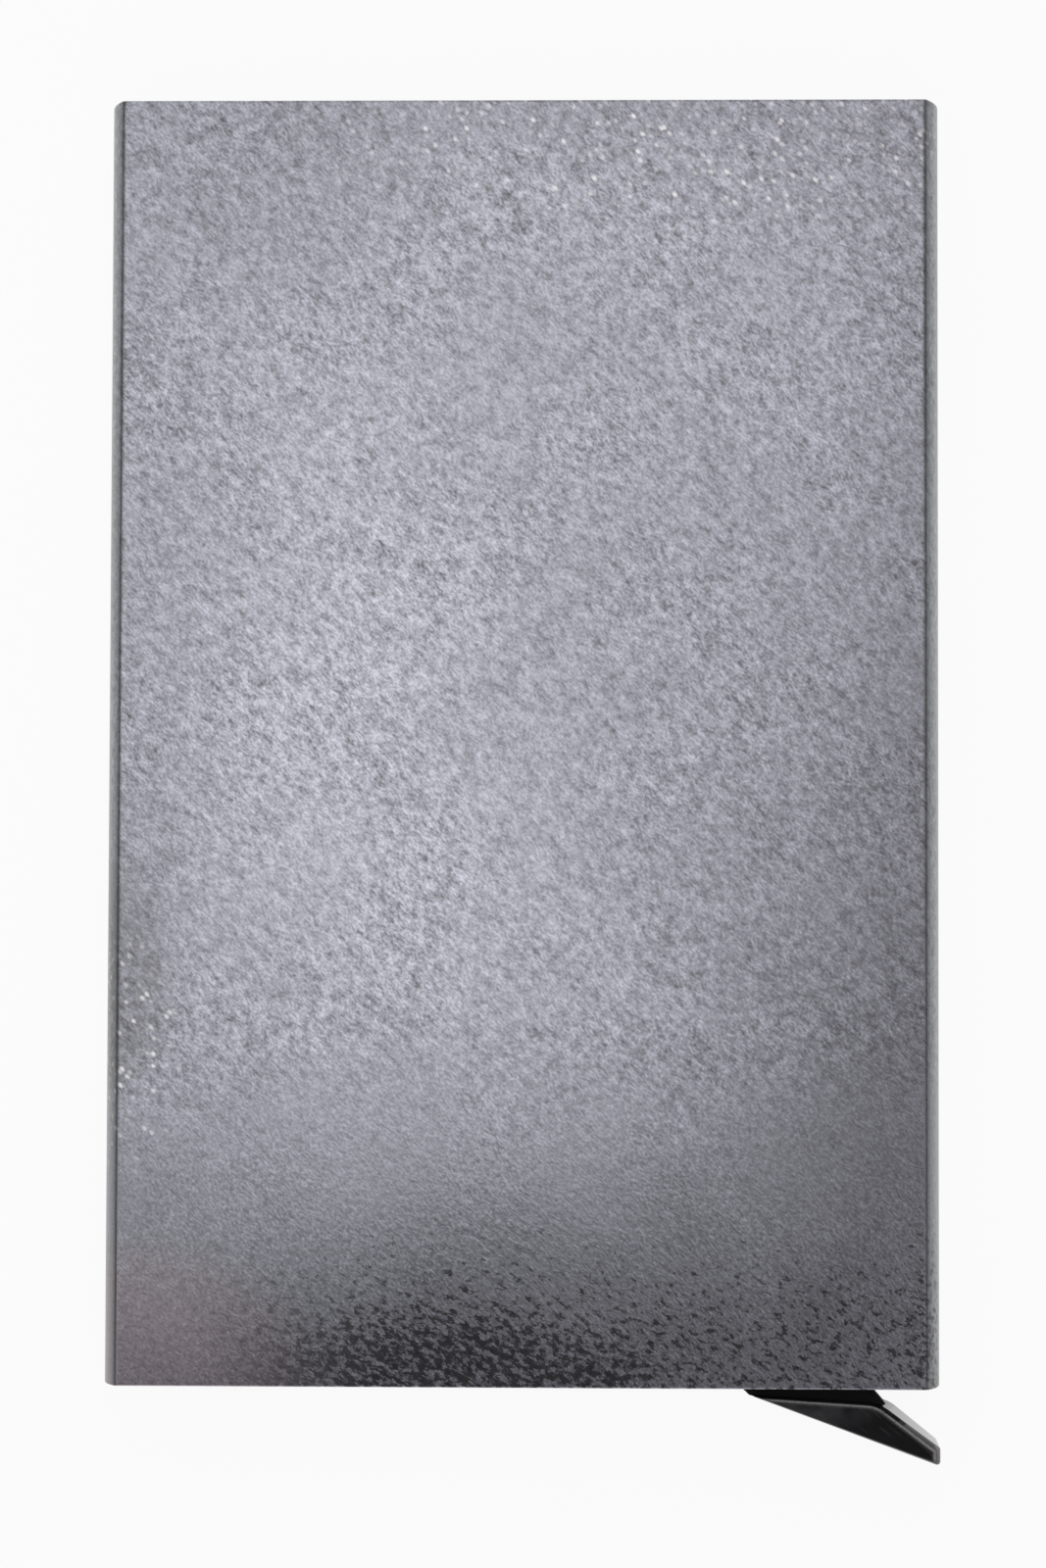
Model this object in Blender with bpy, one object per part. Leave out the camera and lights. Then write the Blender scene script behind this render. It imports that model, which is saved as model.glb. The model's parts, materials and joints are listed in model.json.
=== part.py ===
"""Pop-up card case, lying on its back with the card mouth towards +Y.

A flat metal sleeve, open at the top, holds a stack of cards between two guide rails.
A moulded base closes its lower end and carries a lever on a steel pin. Turning the
lever's trigger lifts a stepped arm under the cards, which fans them out of the mouth.
Lengths are in metres. Heights are measured up from the sleeve's lower edge.
"""

import math

import bmesh
import bpy
from mathutils import Matrix, Vector

# Sleeve: flat faces that meet arched sides at a slightly rounded edge
CASE_WIDTH = 0.0630
CASE_LENGTH = 0.0970
CASE_DEPTH = 0.0080
CASE_WALL = 0.0009
SIDE_RISE = 0.0011
EDGE_RADIUS = 0.0004
INNER_RADIUS = 0.0003
END_CHAMFER = 0.00015

# Clearances between neighbours
SLEEVE_GAP = 0.00015
SEAT_GAP = 0.00012
RUN_GAP = 0.00025
HOUSING_GAP = 0.0004
PIN_GAP = 0.00008
CARD_GAP = 0.00035
OVERRUN = 0.0020

# Stack of cards that the lever lifts
CARD_COUNT = 6
CARD_REST = 0.0104

# Moulded base
BASE_RECESS = 0.0003
PLATE_THICKNESS = 0.00065
COVER_THICKNESS = 0.0008
RAIL_THICKNESS = 0.0012
UPRIGHT_OVERLAP = 0.0008
GUSSET = 0.0022
REST_STOP_WIDTH = 0.0020
REST_STOP_REACH = 0.0160
BASE_TOP_GAP = 0.0001
WEB_RADIUS = 0.0044
WEB_END = math.radians(315)
PEG_RADIUS = 0.00045
PEG_LENGTH = 0.0020
UPPER_PEG_INSET = 0.0049
UPPER_PEG_HEIGHT = 0.0092
LOWER_PEG_INSET = 0.0026
LOWER_PEG_HEIGHT = 0.0026

# Pivot of the lever
PIVOT_INSET = 0.0075
PIVOT_HEIGHT = 0.0048
PIN_RADIUS = 0.0012
PIN_CHAMFER = 0.0002
HUB_RADIUS = 0.0034
NECK_RELIEF = 0.0001
LEVER_SWING = math.radians(32)

# Stepped arm of the lever
ARM_ROOT = 0.0078
ARM_ROOT_HEIGHT = 0.0077
ARM_TIP_HEIGHT = 0.0040
ARM_TOP_GAP = 0.0004
ARM_FRONT_GAP = 0.0002
ARM_END_GAP = 0.00119
STEP_SHORTEST = 0.0165
STEP_NOSE = 0.0012
STEP_HEEL = 0.0018
ARM_CORNER = 0.0008
WINDOW_RIB = 0.0012
WINDOW_NOSE = 0.0022
WINDOW_LOW_BAND = 0.0011
WINDOW_HIGH_BAND = 0.0013
WINDOW_CORNER = 0.0005
WINDOW_CORNER_SHARE = 0.4

# Trigger of the lever, outside the sleeve
TRIGGER_SIDE_SETBACK = 0.0011
TRIGGER_REACH = 0.00582
TRIGGER_TIP_HEIGHT = 0.00156
TRIGGER_TIP_SETBACK = 0.00005
TRIGGER_SHOULDER = 0.00062
SHOULDER_FALL = 0.00064
TRIGGER_HEEL = 0.00675
TRIGGER_THUMB = 0.00374
TRIGGER_BEVEL_DEPTH = 0.0006
SHOULDER_BEVEL = 0.00015
THUMB_BEVEL_ROOT = 0.00032
THUMB_BEVEL_TIP = 0.00042
THUMB_DRAFT_ROOT = 0.00042
THUMB_DRAFT_TIP = 0.00017
TIP_BEVEL = 0.00045
LOWER_BEVEL_HEEL = 0.00025
LOWER_BEVEL_TIP = 0.0006
TRIGGER_CORNER = 0.00025
THUMB_CORNER = 0.0024
NECK_HEEL = 0.0075
NECK_THUMB = 0.0023
NECK_OVERLAP = 0.00055
NECK_SLOPE = 0.00065
NECK_SPREAD = 0.0011
NECK_INSIDE = 0.0019

# Slot of the base that the trigger turns in
SLOT_LEFT = 0.0092
NOTCH_HEIGHT = 0.0043

# Guide rails beside the cards
RAIL_WIDTH = 0.00311
RAIL_WALL = 0.0008
RAIL_CAP = 0.0012
RAIL_MOUTH_GAP = 0.0006
RAIL_RIBS = 8
RAIL_LEAD_IN = 0.0004
TONGUE_WIDTH = 0.0010
TONGUE_DEPTH = 0.0016
TONGUE_LENGTH = 0.0016
TONGUE_SETBACK = 0.00105

# Leaf springs on the back wall and felt strips on the front wall
SPRING_THICKNESS = 0.0002
SPRING_WIDTH = 0.0036
SPRING_LENGTH = 0.0500
SPRING_RISE = 0.00075
SPRING_FOOT = 0.0050
SPRING_START = 0.0380
SPRING_EDGE = 0.0010
TAB_WIDTH = 0.0030
TAB_TAPER = 0.0003
TAB_REACH = 0.0006
FELT_THICKNESS = 0.0005
FELT_WIDTH = 0.0046
FELT_LENGTH = 0.0540
FELT_START = 0.0370
FELT_CORNER = 0.0010

# Facets of round shapes
SIDE_STEPS = 16
ROUND_STEPS = 32
PEG_STEPS = 16
CORNER_STEPS = 4
SPRING_STEPS = 24
SHARP_ANGLE = math.radians(30)

# Places that follow from the sizes above
HALF_WIDTH = CASE_WIDTH / 2
HALF_DEPTH = CASE_DEPTH / 2
LOWER_EDGE = -CASE_LENGTH / 2
UPPER_EDGE = CASE_LENGTH / 2
SIDE_RADIUS = (HALF_DEPTH**2 + SIDE_RISE**2) / (2 * SIDE_RISE)
SIDE_CENTRE = HALF_WIDTH - SIDE_RADIUS
CORE_INSET = CASE_WALL + SLEEVE_GAP
CORE_LOW = CORE_INSET
CORE_HIGH = CASE_DEPTH - CORE_INSET
PLATE_TOP = CORE_LOW + PLATE_THICKNESS
COVER_LOW = CORE_HIGH - COVER_THICKNESS
ARM_LOW = PLATE_TOP + RUN_GAP
ARM_HIGH = CORE_HIGH - ARM_FRONT_GAP
CARD_PITCH = (ARM_HIGH - ARM_LOW) / CARD_COUNT
NECK_LOW = ARM_LOW + NECK_RELIEF
NECK_HIGH = COVER_LOW - RUN_GAP - NECK_RELIEF
TRIGGER_LOW = TRIGGER_SIDE_SETBACK
TRIGGER_HIGH = CASE_DEPTH - TRIGGER_SIDE_SETBACK
PIVOT = Vector((HALF_WIDTH - PIVOT_INSET, LOWER_EDGE + PIVOT_HEIGHT, 0))
RAIL_FACE = HALF_WIDTH - CORE_INSET - RAIL_WIDTH
CARD_SIDE = RAIL_FACE - CARD_GAP
STEP_LONGEST = PIVOT.x + CARD_SIDE - UPRIGHT_OVERLAP - ARM_END_GAP
STEP_PITCH = (STEP_LONGEST - STEP_SHORTEST) / (CARD_COUNT - 1)
BASE_TOP = CARD_REST - BASE_TOP_GAP
ARM_TOP = CARD_REST - ARM_TOP_GAP - PIVOT_HEIGHT
HOUSING_RADIUS = HUB_RADIUS + HOUSING_GAP
ORIGIN = Vector((0, 0, 0))


def height(value):
    """Return the Y place of a height above the sleeve's lower edge."""
    return LOWER_EDGE + value


def finish(name, colour, roughness, metallic):
    """Return a plain material of one colour."""
    material = bpy.data.materials.new(name)
    material.use_nodes = True
    shader = material.node_tree.nodes["Principled BSDF"]
    shader.inputs["Base Color"].default_value = (*colour, 1)
    shader.inputs["Roughness"].default_value = roughness
    shader.inputs["Metallic"].default_value = metallic
    return material


def add_skin(mesh, rings, wrap=False):
    """Join rings of equally many points into one closed surface, capped unless it wraps."""
    rows = [[mesh.verts.new(point) for point in ring] for ring in rings]
    count = len(rows[0])
    pairs = list(zip(rows, rows[1:]))
    if wrap:
        pairs.append((rows[-1], rows[0]))
    for lower, upper in pairs:
        for index in range(count):
            after = (index + 1) % count
            mesh.faces.new((lower[index], lower[after], upper[after], upper[index]))
    if not wrap:
        mesh.faces.new(rows[0])
        mesh.faces.new(rows[-1])


def new_object(name, mesh, place=ORIGIN, material=None):
    """Turn a mesh under construction into a scene object with its origin at a place."""
    bmesh.ops.recalc_face_normals(mesh, faces=mesh.faces)
    data = bpy.data.meshes.new(name)
    mesh.to_mesh(data)
    mesh.free()
    data.shade_smooth()
    data.set_sharp_from_angle(angle=SHARP_ANGLE)
    item = bpy.data.objects.new(name, data)
    item.location = place
    if material:
        data.materials.append(material)
    bpy.context.scene.collection.objects.link(item)
    return item


def skin(name, rings, place=ORIGIN, material=None, wrap=False):
    """Return an object made of one closed surface."""
    mesh = bmesh.new()
    add_skin(mesh, rings, wrap)
    return new_object(name, mesh, place, material)


def flat_ring(outline, level):
    """Lay an outline of X and Y points at one Z level."""
    return [Vector((point[0], point[1], level)) for point in outline]


def slab(name, outline, low, high, place=ORIGIN, material=None):
    """Return an outline raised from one Z level to another."""
    return skin(name, [flat_ring(outline, low), flat_ring(outline, high)], place, material)


def box_outline(left, right, low, high):
    """Return the four corners of an upright rectangle."""
    return [(left, low), (right, low), (right, high), (left, high)]


def arc(centre, radius, start, end, steps):
    """Return points along an arc, with its angles in radians."""
    angles = [start + (end - start) * index / steps for index in range(steps + 1)]
    return [(centre[0] + radius * math.cos(a), centre[1] + radius * math.sin(a)) for a in angles]


def circle(centre, radius, steps):
    """Return the points of a full circle."""
    return arc(centre, radius, 0, math.tau, steps)[:-1]


def round_corners(corners, radii):
    """Replace each corner of an outline with an arc that is tangent to both edges."""
    outline = []
    for index, corner in enumerate(corners):
        here = Vector(corner)
        back = (Vector(corners[index - 1]) - here).normalized()
        ahead = (Vector(corners[(index + 1) % len(corners)]) - here).normalized()
        half = back.angle(ahead) / 2
        centre = here + (back + ahead).normalized() * radii[index] / math.sin(half)
        spoke = here + back * radii[index] / math.tan(half) - centre
        turn = math.copysign(math.pi - 2 * half, back.cross(ahead) * -1)
        for step in range(CORNER_STEPS + 1):
            outline.append(centre + Matrix.Rotation(turn * step / CORNER_STEPS, 2) @ spoke)
    return outline


def cross_point(first, second):
    """Return where two endless lines meet, each given by two points."""
    start, along = first[0], first[1] - first[0]
    other, across = second[0], second[1] - second[0]
    return start + along * ((other - start).cross(across) / along.cross(across))


def inset_outline(corners, insets):
    """Move each edge of an outline inwards, by one inset at its start and one at its end."""
    lines = []
    for index, (start_inset, end_inset) in enumerate(insets):
        start = Vector(corners[index])
        end = Vector(corners[(index + 1) % len(corners)])
        inward = (end - start).normalized().orthogonal()
        lines.append((start + inward * start_inset, end + inward * end_inset))
    return [cross_point(lines[index - 1], lines[index]) for index in range(len(lines))]


def boolean(target, tool, operation):
    """Combine a target with a tool, which is then left out of the finished model."""
    change = target.modifiers.new(tool.name, "BOOLEAN")
    change.operation = operation
    change.solver = "EXACT"
    change.object = tool
    tool.parent = target
    tool.matrix_parent_inverse = Matrix.Translation(-target.location)
    tool.hide_render = True
    tool.display_type = "WIRE"


def sleeve_section(inset, corner):
    """Return the X and Z points of the sleeve's outline, moved inwards, with rounded corners."""
    rise = HALF_DEPTH - inset - corner
    run = math.sqrt((SIDE_RADIUS - inset - corner) ** 2 - rise**2)
    lean = math.atan2(rise, run)
    low = arc((SIDE_CENTRE + run, HALF_DEPTH - rise), corner, -math.pi / 2, -lean, CORNER_STEPS)
    side = arc((SIDE_CENTRE, HALF_DEPTH), SIDE_RADIUS - inset, -lean, lean, SIDE_STEPS)
    high = arc((SIDE_CENTRE + run, HALF_DEPTH + rise), corner, lean, math.pi / 2, CORNER_STEPS)
    right = low + side[1:-1] + high
    return right + [(-x, z) for x, z in reversed(right)]


def section_ring(inset, corner, place):
    """Stand the sleeve's outline up at one Y place."""
    return [Vector((x, place, z)) for x, z in sleeve_section(inset, corner)]


def make_sleeve(material):
    """Extrude the wall between two outlines, with a small chamfer at both ends."""
    outer = (0, EDGE_RADIUS)
    outer_end = (END_CHAMFER, EDGE_RADIUS)
    inner = (CASE_WALL, INNER_RADIUS)
    inner_end = (CASE_WALL - END_CHAMFER, INNER_RADIUS)
    rings = [
        section_ring(*outer_end, LOWER_EDGE),
        section_ring(*outer, LOWER_EDGE + END_CHAMFER),
        section_ring(*outer, UPPER_EDGE - END_CHAMFER),
        section_ring(*outer_end, UPPER_EDGE),
        section_ring(*inner_end, UPPER_EDGE),
        section_ring(*inner, UPPER_EDGE - END_CHAMFER),
        section_ring(*inner, LOWER_EDGE + END_CHAMFER),
        section_ring(*inner_end, LOWER_EDGE),
    ]
    return skin("case_sleeve", rings, material=material, wrap=True)


def fill_sleeve(name, low, high):
    """Return a solid that fills the sleeve's inside between two heights, less its clearance."""
    return skin(name, [section_ring(CORE_INSET, INNER_RADIUS, height(h)) for h in (low, high)])


def neck_tangent():
    """Return the angle on the hub where the straight upper edge of the arm's neck begins."""
    corner = Vector((-ARM_ROOT, ARM_TOP))
    return math.atan2(corner.y, corner.x) + math.asin(HUB_RADIUS / corner.length) - math.pi / 2


def stop_face(level):
    """Return the housing's arc and its stop face, which meets the turned neck at full swing."""
    angle = neck_tangent() - LEVER_SWING
    curve = arc((0, 0), HOUSING_RADIUS, 0, angle, ROUND_STEPS // 4)
    touch = Vector(curve[-1])
    along = Vector((-math.sin(angle), math.cos(angle)))
    end = touch + along * ((level - touch.y) / along.y)
    return curve + [end]


def arm_lower_edge(reach):
    """Return the height of the arm's tapered lower edge, from the pivot, at a reach to the left."""
    root = ARM_TOP - ARM_ROOT_HEIGHT
    tip = ARM_TOP - ARM_TIP_HEIGHT
    return root + (tip - root) * (reach - ARM_ROOT) / (STEP_LONGEST - ARM_ROOT)


def tray_outline():
    """Return the open space of the base, seen from the front, that the lever turns in."""
    floor = BASE_RECESS + RAIL_THICKNESS - PIVOT_HEIGHT
    left = UPRIGHT_OVERLAP - CARD_SIDE - PIVOT.x
    beyond = BASE_TOP + OVERRUN - PIVOT_HEIGHT
    below = -PIVOT_HEIGHT - OVERRUN
    stop_right = -REST_STOP_REACH
    stop_left = stop_right - REST_STOP_WIDTH
    stop_top = arm_lower_edge(REST_STOP_REACH) - RUN_GAP
    return [
        (left, beyond),
        (left, floor + GUSSET),
        (left + GUSSET, floor),
        (stop_left, floor),
        (stop_left, stop_top),
        (stop_right, stop_top),
        (stop_right, floor),
        (-SLOT_LEFT, floor),
        (-SLOT_LEFT, below),
        (HOUSING_RADIUS, below),
        *stop_face(beyond),
    ]


def slot_outline():
    """Return the notch through the base that the thick trigger swings into."""
    below = -PIVOT_HEIGHT - OVERRUN
    rim = arc((0, 0), WEB_RADIUS, math.pi, WEB_END, ROUND_STEPS // 2)
    notch_top = NOTCH_HEIGHT - PIVOT_HEIGHT
    return [
        (-SLOT_LEFT, below),
        (HOUSING_RADIUS, below),
        (HOUSING_RADIUS, BASE_RECESS - PIVOT_HEIGHT),
        *reversed(rim[1:]),
        (-WEB_RADIUS * math.cos(math.asin(notch_top / WEB_RADIUS)), notch_top),
        (-SLOT_LEFT, notch_top),
    ]


def web_outline():
    """Return the plate that covers the hub, as wide as the sleeve and more on the right."""
    low = BASE_RECESS - PIVOT_HEIGHT
    top = BASE_TOP - PIVOT_HEIGHT
    return [
        (HOUSING_RADIUS, low),
        (PIVOT_INSET, low),
        (PIVOT_INSET, top),
        (-WEB_RADIUS, top),
        *arc((0, 0), WEB_RADIUS, math.pi, WEB_END, ROUND_STEPS // 2),
    ]


def peg_places():
    """Return where the cover's two pegs stand, from the pivot."""
    upper = (PIVOT_INSET - UPPER_PEG_INSET, UPPER_PEG_HEIGHT - PIVOT_HEIGHT)
    lower = (PIVOT_INSET - LOWER_PEG_INSET, LOWER_PEG_HEIGHT - PIVOT_HEIGHT)
    return [upper, lower]


def tongue_outline(side, gap):
    """Return the outline of a guide rail's tongue, grown by a gap for its socket."""
    near = side * (RAIL_FACE + TONGUE_SETBACK - gap)
    far = side * (RAIL_FACE + TONGUE_SETBACK + TONGUE_WIDTH + gap)
    low = height(CARD_REST - TONGUE_LENGTH - gap)
    return box_outline(min(near, far), max(near, far), low, height(CARD_REST + RAIL_CAP / 2))


def make_base(material):
    """Cut the tray, the slot and the seats out of a block that fills the sleeve's lower end."""
    base = fill_sleeve("base_frame", BASE_RECESS, BASE_TOP)
    base.data.materials.append(material)
    boolean(base, slab("tray_tool", tray_outline(), PLATE_TOP, CASE_DEPTH, PIVOT), "DIFFERENCE")
    boolean(base, slab("slot_tool", slot_outline(), -OVERRUN, CASE_DEPTH, PIVOT), "DIFFERENCE")
    seat = box_outline(-WEB_RADIUS, PIVOT_INSET, -PIVOT_HEIGHT, BASE_TOP)
    seat_tool = slab("cover_seat_tool", seat, COVER_LOW - SEAT_GAP, CASE_DEPTH, PIVOT)
    boolean(base, seat_tool, "DIFFERENCE")
    holes = bmesh.new()
    bore = circle((0, 0), PIN_RADIUS + PIN_GAP, ROUND_STEPS)
    add_skin(holes, [flat_ring(bore, -OVERRUN), flat_ring(bore, PLATE_TOP + OVERRUN)])
    socket_low = COVER_LOW - PEG_LENGTH - SEAT_GAP
    for place in peg_places():
        socket = circle(place, PEG_RADIUS + SEAT_GAP, PEG_STEPS)
        add_skin(holes, [flat_ring(socket, socket_low), flat_ring(socket, CASE_DEPTH)])
    boolean(base, new_object("base_holes_tool", holes, PIVOT), "DIFFERENCE")
    sockets = bmesh.new()
    half = TONGUE_DEPTH / 2 + SEAT_GAP
    for side in (-1, 1):
        mouth = tongue_outline(side, SEAT_GAP)
        add_skin(sockets, [flat_ring(mouth, HALF_DEPTH - half), flat_ring(mouth, HALF_DEPTH + half)])
    boolean(base, new_object("tongue_socket_tool", sockets), "DIFFERENCE")
    return base


def make_cover(material):
    """Make the plate that closes the hub from the front, with its two pegs."""
    cover = slab("pivot_cover", web_outline(), COVER_LOW, CORE_HIGH, PIVOT, material)
    pegs = bmesh.new()
    for place in peg_places():
        peg = circle(place, PEG_RADIUS, PEG_STEPS)
        levels = (COVER_LOW - PEG_LENGTH, COVER_LOW + COVER_THICKNESS / 2)
        add_skin(pegs, [flat_ring(peg, level) for level in levels])
    boolean(cover, new_object("cover_peg_tool", pegs, PIVOT), "UNION")
    bore = circle((0, 0), PIN_RADIUS + PIN_GAP, ROUND_STEPS)
    boolean(cover, slab("cover_bore_tool", bore, HALF_DEPTH, CASE_DEPTH, PIVOT), "DIFFERENCE")
    boolean(cover, fill_sleeve("cover_side_tool", -OVERRUN, CARD_REST + OVERRUN), "INTERSECT")
    return cover


def make_pin(material):
    """Turn the steel pin, with a chamfer at both ends."""
    low = CORE_LOW + SEAT_GAP
    high = CORE_HIGH - SEAT_GAP
    body = circle((0, 0), PIN_RADIUS, ROUND_STEPS)
    end = circle((0, 0), PIN_RADIUS - PIN_CHAMFER, ROUND_STEPS)
    rings = [
        flat_ring(end, low),
        flat_ring(body, low + PIN_CHAMFER),
        flat_ring(body, high - PIN_CHAMFER),
        flat_ring(end, high),
    ]
    return skin("pivot_pin", rings, PIVOT, material)


def arm_outline():
    """Return the side view of the arm's rear layer, the longest one."""
    corners = [
        (-ARM_ROOT, arm_lower_edge(ARM_ROOT)),
        (-ARM_ROOT, ARM_TOP),
        (-STEP_LONGEST, ARM_TOP),
        (-STEP_LONGEST, arm_lower_edge(STEP_LONGEST)),
    ]
    return round_corners(corners, [ARM_CORNER, ARM_CORNER, STEP_NOSE, STEP_HEEL])


def step_cut_outline(reach):
    """Return what is cut away beyond the rounded nose of a shorter layer."""
    low = arm_lower_edge(reach)
    heel = (STEP_HEEL - reach, low + STEP_HEEL)
    nose = (STEP_NOSE - reach, ARM_TOP - STEP_NOSE)
    far = -STEP_LONGEST - OVERRUN
    return [
        (far, low - OVERRUN),
        (heel[0], low - OVERRUN),
        *arc(heel, STEP_HEEL, -math.pi / 2, -math.pi, CORNER_STEPS),
        *arc(nose, STEP_NOSE, math.pi, math.pi / 2, CORNER_STEPS),
        (nose[0], ARM_TOP + OVERRUN),
        (far, ARM_TOP + OVERRUN),
    ]


def window_outline(reach):
    """Return one window of the arm, behind the nose of the step at this reach."""
    left = reach - WINDOW_NOSE
    right = reach - STEP_PITCH + WINDOW_RIB
    corners = [
        (-left, arm_lower_edge(left) + WINDOW_LOW_BAND),
        (-right, arm_lower_edge(right) + WINDOW_LOW_BAND),
        (-right, ARM_TOP - WINDOW_HIGH_BAND),
        (-left, ARM_TOP - WINDOW_HIGH_BAND),
    ]
    corner = min(WINDOW_CORNER, (left - right) * WINDOW_CORNER_SHARE)
    return round_corners(corners, [corner] * len(corners))


def neck_outline():
    """Return the thin web of the lever: the hub, joined to the arm and into the trigger."""
    edge = -PIVOT_HEIGHT
    heel_side = edge - TRIGGER_SHOULDER
    thumb_side = heel_side - SHOULDER_FALL
    return [
        *arc((0, 0), HUB_RADIUS, 0, neck_tangent(), ROUND_STEPS // 3),
        (-ARM_ROOT - ARM_CORNER, ARM_TOP - ARM_CORNER),
        (-ARM_ROOT - ARM_CORNER, arm_lower_edge(ARM_ROOT) + ARM_CORNER),
        (-ARM_ROOT + NECK_RELIEF, arm_lower_edge(ARM_ROOT) + ARM_CORNER),
        (-NECK_HEEL, edge),
        (-NECK_HEEL + NECK_SLOPE, heel_side),
        (-TRIGGER_HEEL + NECK_INSIDE, heel_side - NECK_OVERLAP),
        (NECK_THUMB, thumb_side - NECK_OVERLAP),
        (NECK_THUMB + NECK_SPREAD, thumb_side),
        (NECK_THUMB, edge),
    ]


def trigger_corners():
    """Return the four corners of the trigger: heel, tip below, tip above and thumb side."""
    edge = -PIVOT_HEIGHT
    tip = PIVOT_INSET - TRIGGER_TIP_SETBACK
    return [
        (-TRIGGER_HEEL, edge - TRIGGER_SHOULDER),
        (tip, edge - TRIGGER_REACH),
        (tip, edge - TRIGGER_REACH + TRIGGER_TIP_HEIGHT),
        (TRIGGER_THUMB, edge - TRIGGER_SHOULDER - SHOULDER_FALL),
    ]


def make_trigger():
    """Loft the trigger from flank to flank: a bevel, the rim with its slanted thumb side, a bevel."""
    bevels = [
        (LOWER_BEVEL_HEEL, LOWER_BEVEL_TIP),
        (TIP_BEVEL, TIP_BEVEL),
        (THUMB_BEVEL_TIP, THUMB_BEVEL_ROOT),
        (SHOULDER_BEVEL, SHOULDER_BEVEL),
    ]
    drafts = [(0, 0), (0, 0), (THUMB_DRAFT_TIP, THUMB_DRAFT_ROOT), (0, 0)]
    rear_rim = trigger_corners()
    front_rim = inset_outline(rear_rim, drafts)
    rim_radii = [NECK_RELIEF, TRIGGER_CORNER, TRIGGER_CORNER, THUMB_CORNER]
    flank_radii = [NECK_RELIEF, NECK_RELIEF, NECK_RELIEF, THUMB_CORNER]
    rings = [
        flat_ring(round_corners(inset_outline(rear_rim, bevels), flank_radii), TRIGGER_LOW),
        flat_ring(round_corners(rear_rim, rim_radii), TRIGGER_LOW + TRIGGER_BEVEL_DEPTH),
        flat_ring(round_corners(front_rim, rim_radii), TRIGGER_HIGH - TRIGGER_BEVEL_DEPTH),
        flat_ring(round_corners(inset_outline(front_rim, bevels), flank_radii), TRIGGER_HIGH),
    ]
    return skin("trigger_tool", rings, PIVOT)


def make_lever(material):
    """Make the lever: a stack of card-thick layers, each shorter than the one behind it."""
    lever = slab("lever", arm_outline(), ARM_LOW, ARM_HIGH, PIVOT, material)
    for layer in range(1, CARD_COUNT):
        outline = step_cut_outline(STEP_LONGEST - layer * STEP_PITCH)
        level = ARM_LOW + layer * CARD_PITCH
        cut = slab(f"step_{layer}_tool", outline, level, ARM_HIGH + OVERRUN, PIVOT)
        boolean(lever, cut, "DIFFERENCE")
    windows = bmesh.new()
    for layer in range(CARD_COUNT):
        outline = window_outline(STEP_LONGEST - layer * STEP_PITCH)
        add_skin(windows, [flat_ring(outline, 0), flat_ring(outline, CASE_DEPTH)])
    boolean(lever, new_object("window_tool", windows, PIVOT), "DIFFERENCE")
    boolean(lever, slab("neck_tool", neck_outline(), NECK_LOW, NECK_HIGH, PIVOT), "UNION")
    boolean(lever, make_trigger(), "UNION")
    bore = circle((0, 0), PIN_RADIUS + PIN_GAP, ROUND_STEPS)
    boolean(lever, slab("hub_bore_tool", bore, 0, CASE_DEPTH, PIVOT), "DIFFERENCE")
    return lever


def rail_section(side):
    """Return a guide rail's section: flat towards the cards, arched towards the sleeve."""
    radius = SIDE_RADIUS - CORE_INSET
    reach = math.asin((HALF_DEPTH - CORE_INSET) / radius)
    curve = arc((SIDE_CENTRE, HALF_DEPTH), radius, -reach, reach, SIDE_STEPS)
    return [(side * x, z) for x, z in [(RAIL_FACE, CORE_LOW), *curve, (RAIL_FACE, CORE_HIGH)]]


def rail_ring(side, place, setback):
    """Stand a guide rail's section up at one Y place, with its card face set back."""
    points = rail_section(side)
    points[0] = (points[0][0] + side * setback, points[0][1])
    points[-1] = (points[-1][0] + side * setback, points[-1][1])
    return [Vector((x, place, z)) for x, z in points]


def make_guide_rail(side, name, material):
    """Make the moulded rail beside the cards, cored out on the side that faces the sleeve."""
    low = CARD_REST + BASE_TOP_GAP
    high = CASE_LENGTH - RAIL_MOUTH_GAP
    rings = [
        rail_ring(side, height(low), 0),
        rail_ring(side, height(high - RAIL_CAP / 2), 0),
        rail_ring(side, height(high), RAIL_LEAD_IN),
    ]
    rail = skin(name, rings, material=material)
    pockets = bmesh.new()
    pitch = (high - low - RAIL_CAP) / (RAIL_RIBS + 1)
    near = side * (RAIL_FACE + RAIL_WALL)
    far = side * (HALF_WIDTH + OVERRUN)
    for index in range(RAIL_RIBS + 1):
        start = low + RAIL_CAP + pitch * index
        end = start + pitch - RAIL_CAP
        outline = box_outline(min(near, far), max(near, far), height(start), height(end))
        levels = (CORE_LOW + RAIL_WALL, CORE_HIGH - RAIL_WALL)
        add_skin(pockets, [flat_ring(outline, level) for level in levels])
    boolean(rail, new_object(f"{name}_pocket_tool", pockets), "DIFFERENCE")
    levels = (HALF_DEPTH - TONGUE_DEPTH / 2, HALF_DEPTH + TONGUE_DEPTH / 2)
    tongue = slab(f"{name}_tongue_tool", tongue_outline(side, 0), *levels)
    boolean(rail, tongue, "UNION")
    edges = sorted((side * (RAIL_FACE - OVERRUN), side * tab_end(SEAT_GAP)))
    start = height(SPRING_START + SPRING_FOOT / 2 - TAB_WIDTH / 2 - SEAT_GAP)
    notch = box_outline(*edges, start, start + TAB_WIDTH + 2 * SEAT_GAP)
    notch_tool = slab(f"{name}_notch_tool", notch, 0, CORE_LOW + SPRING_THICKNESS + SEAT_GAP)
    boolean(rail, notch_tool, "DIFFERENCE")
    return rail


def tab_end(gap):
    """Return how far from the middle of the case a spring's tab reaches, plus a gap."""
    return RAIL_FACE + TAB_REACH + gap


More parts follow.
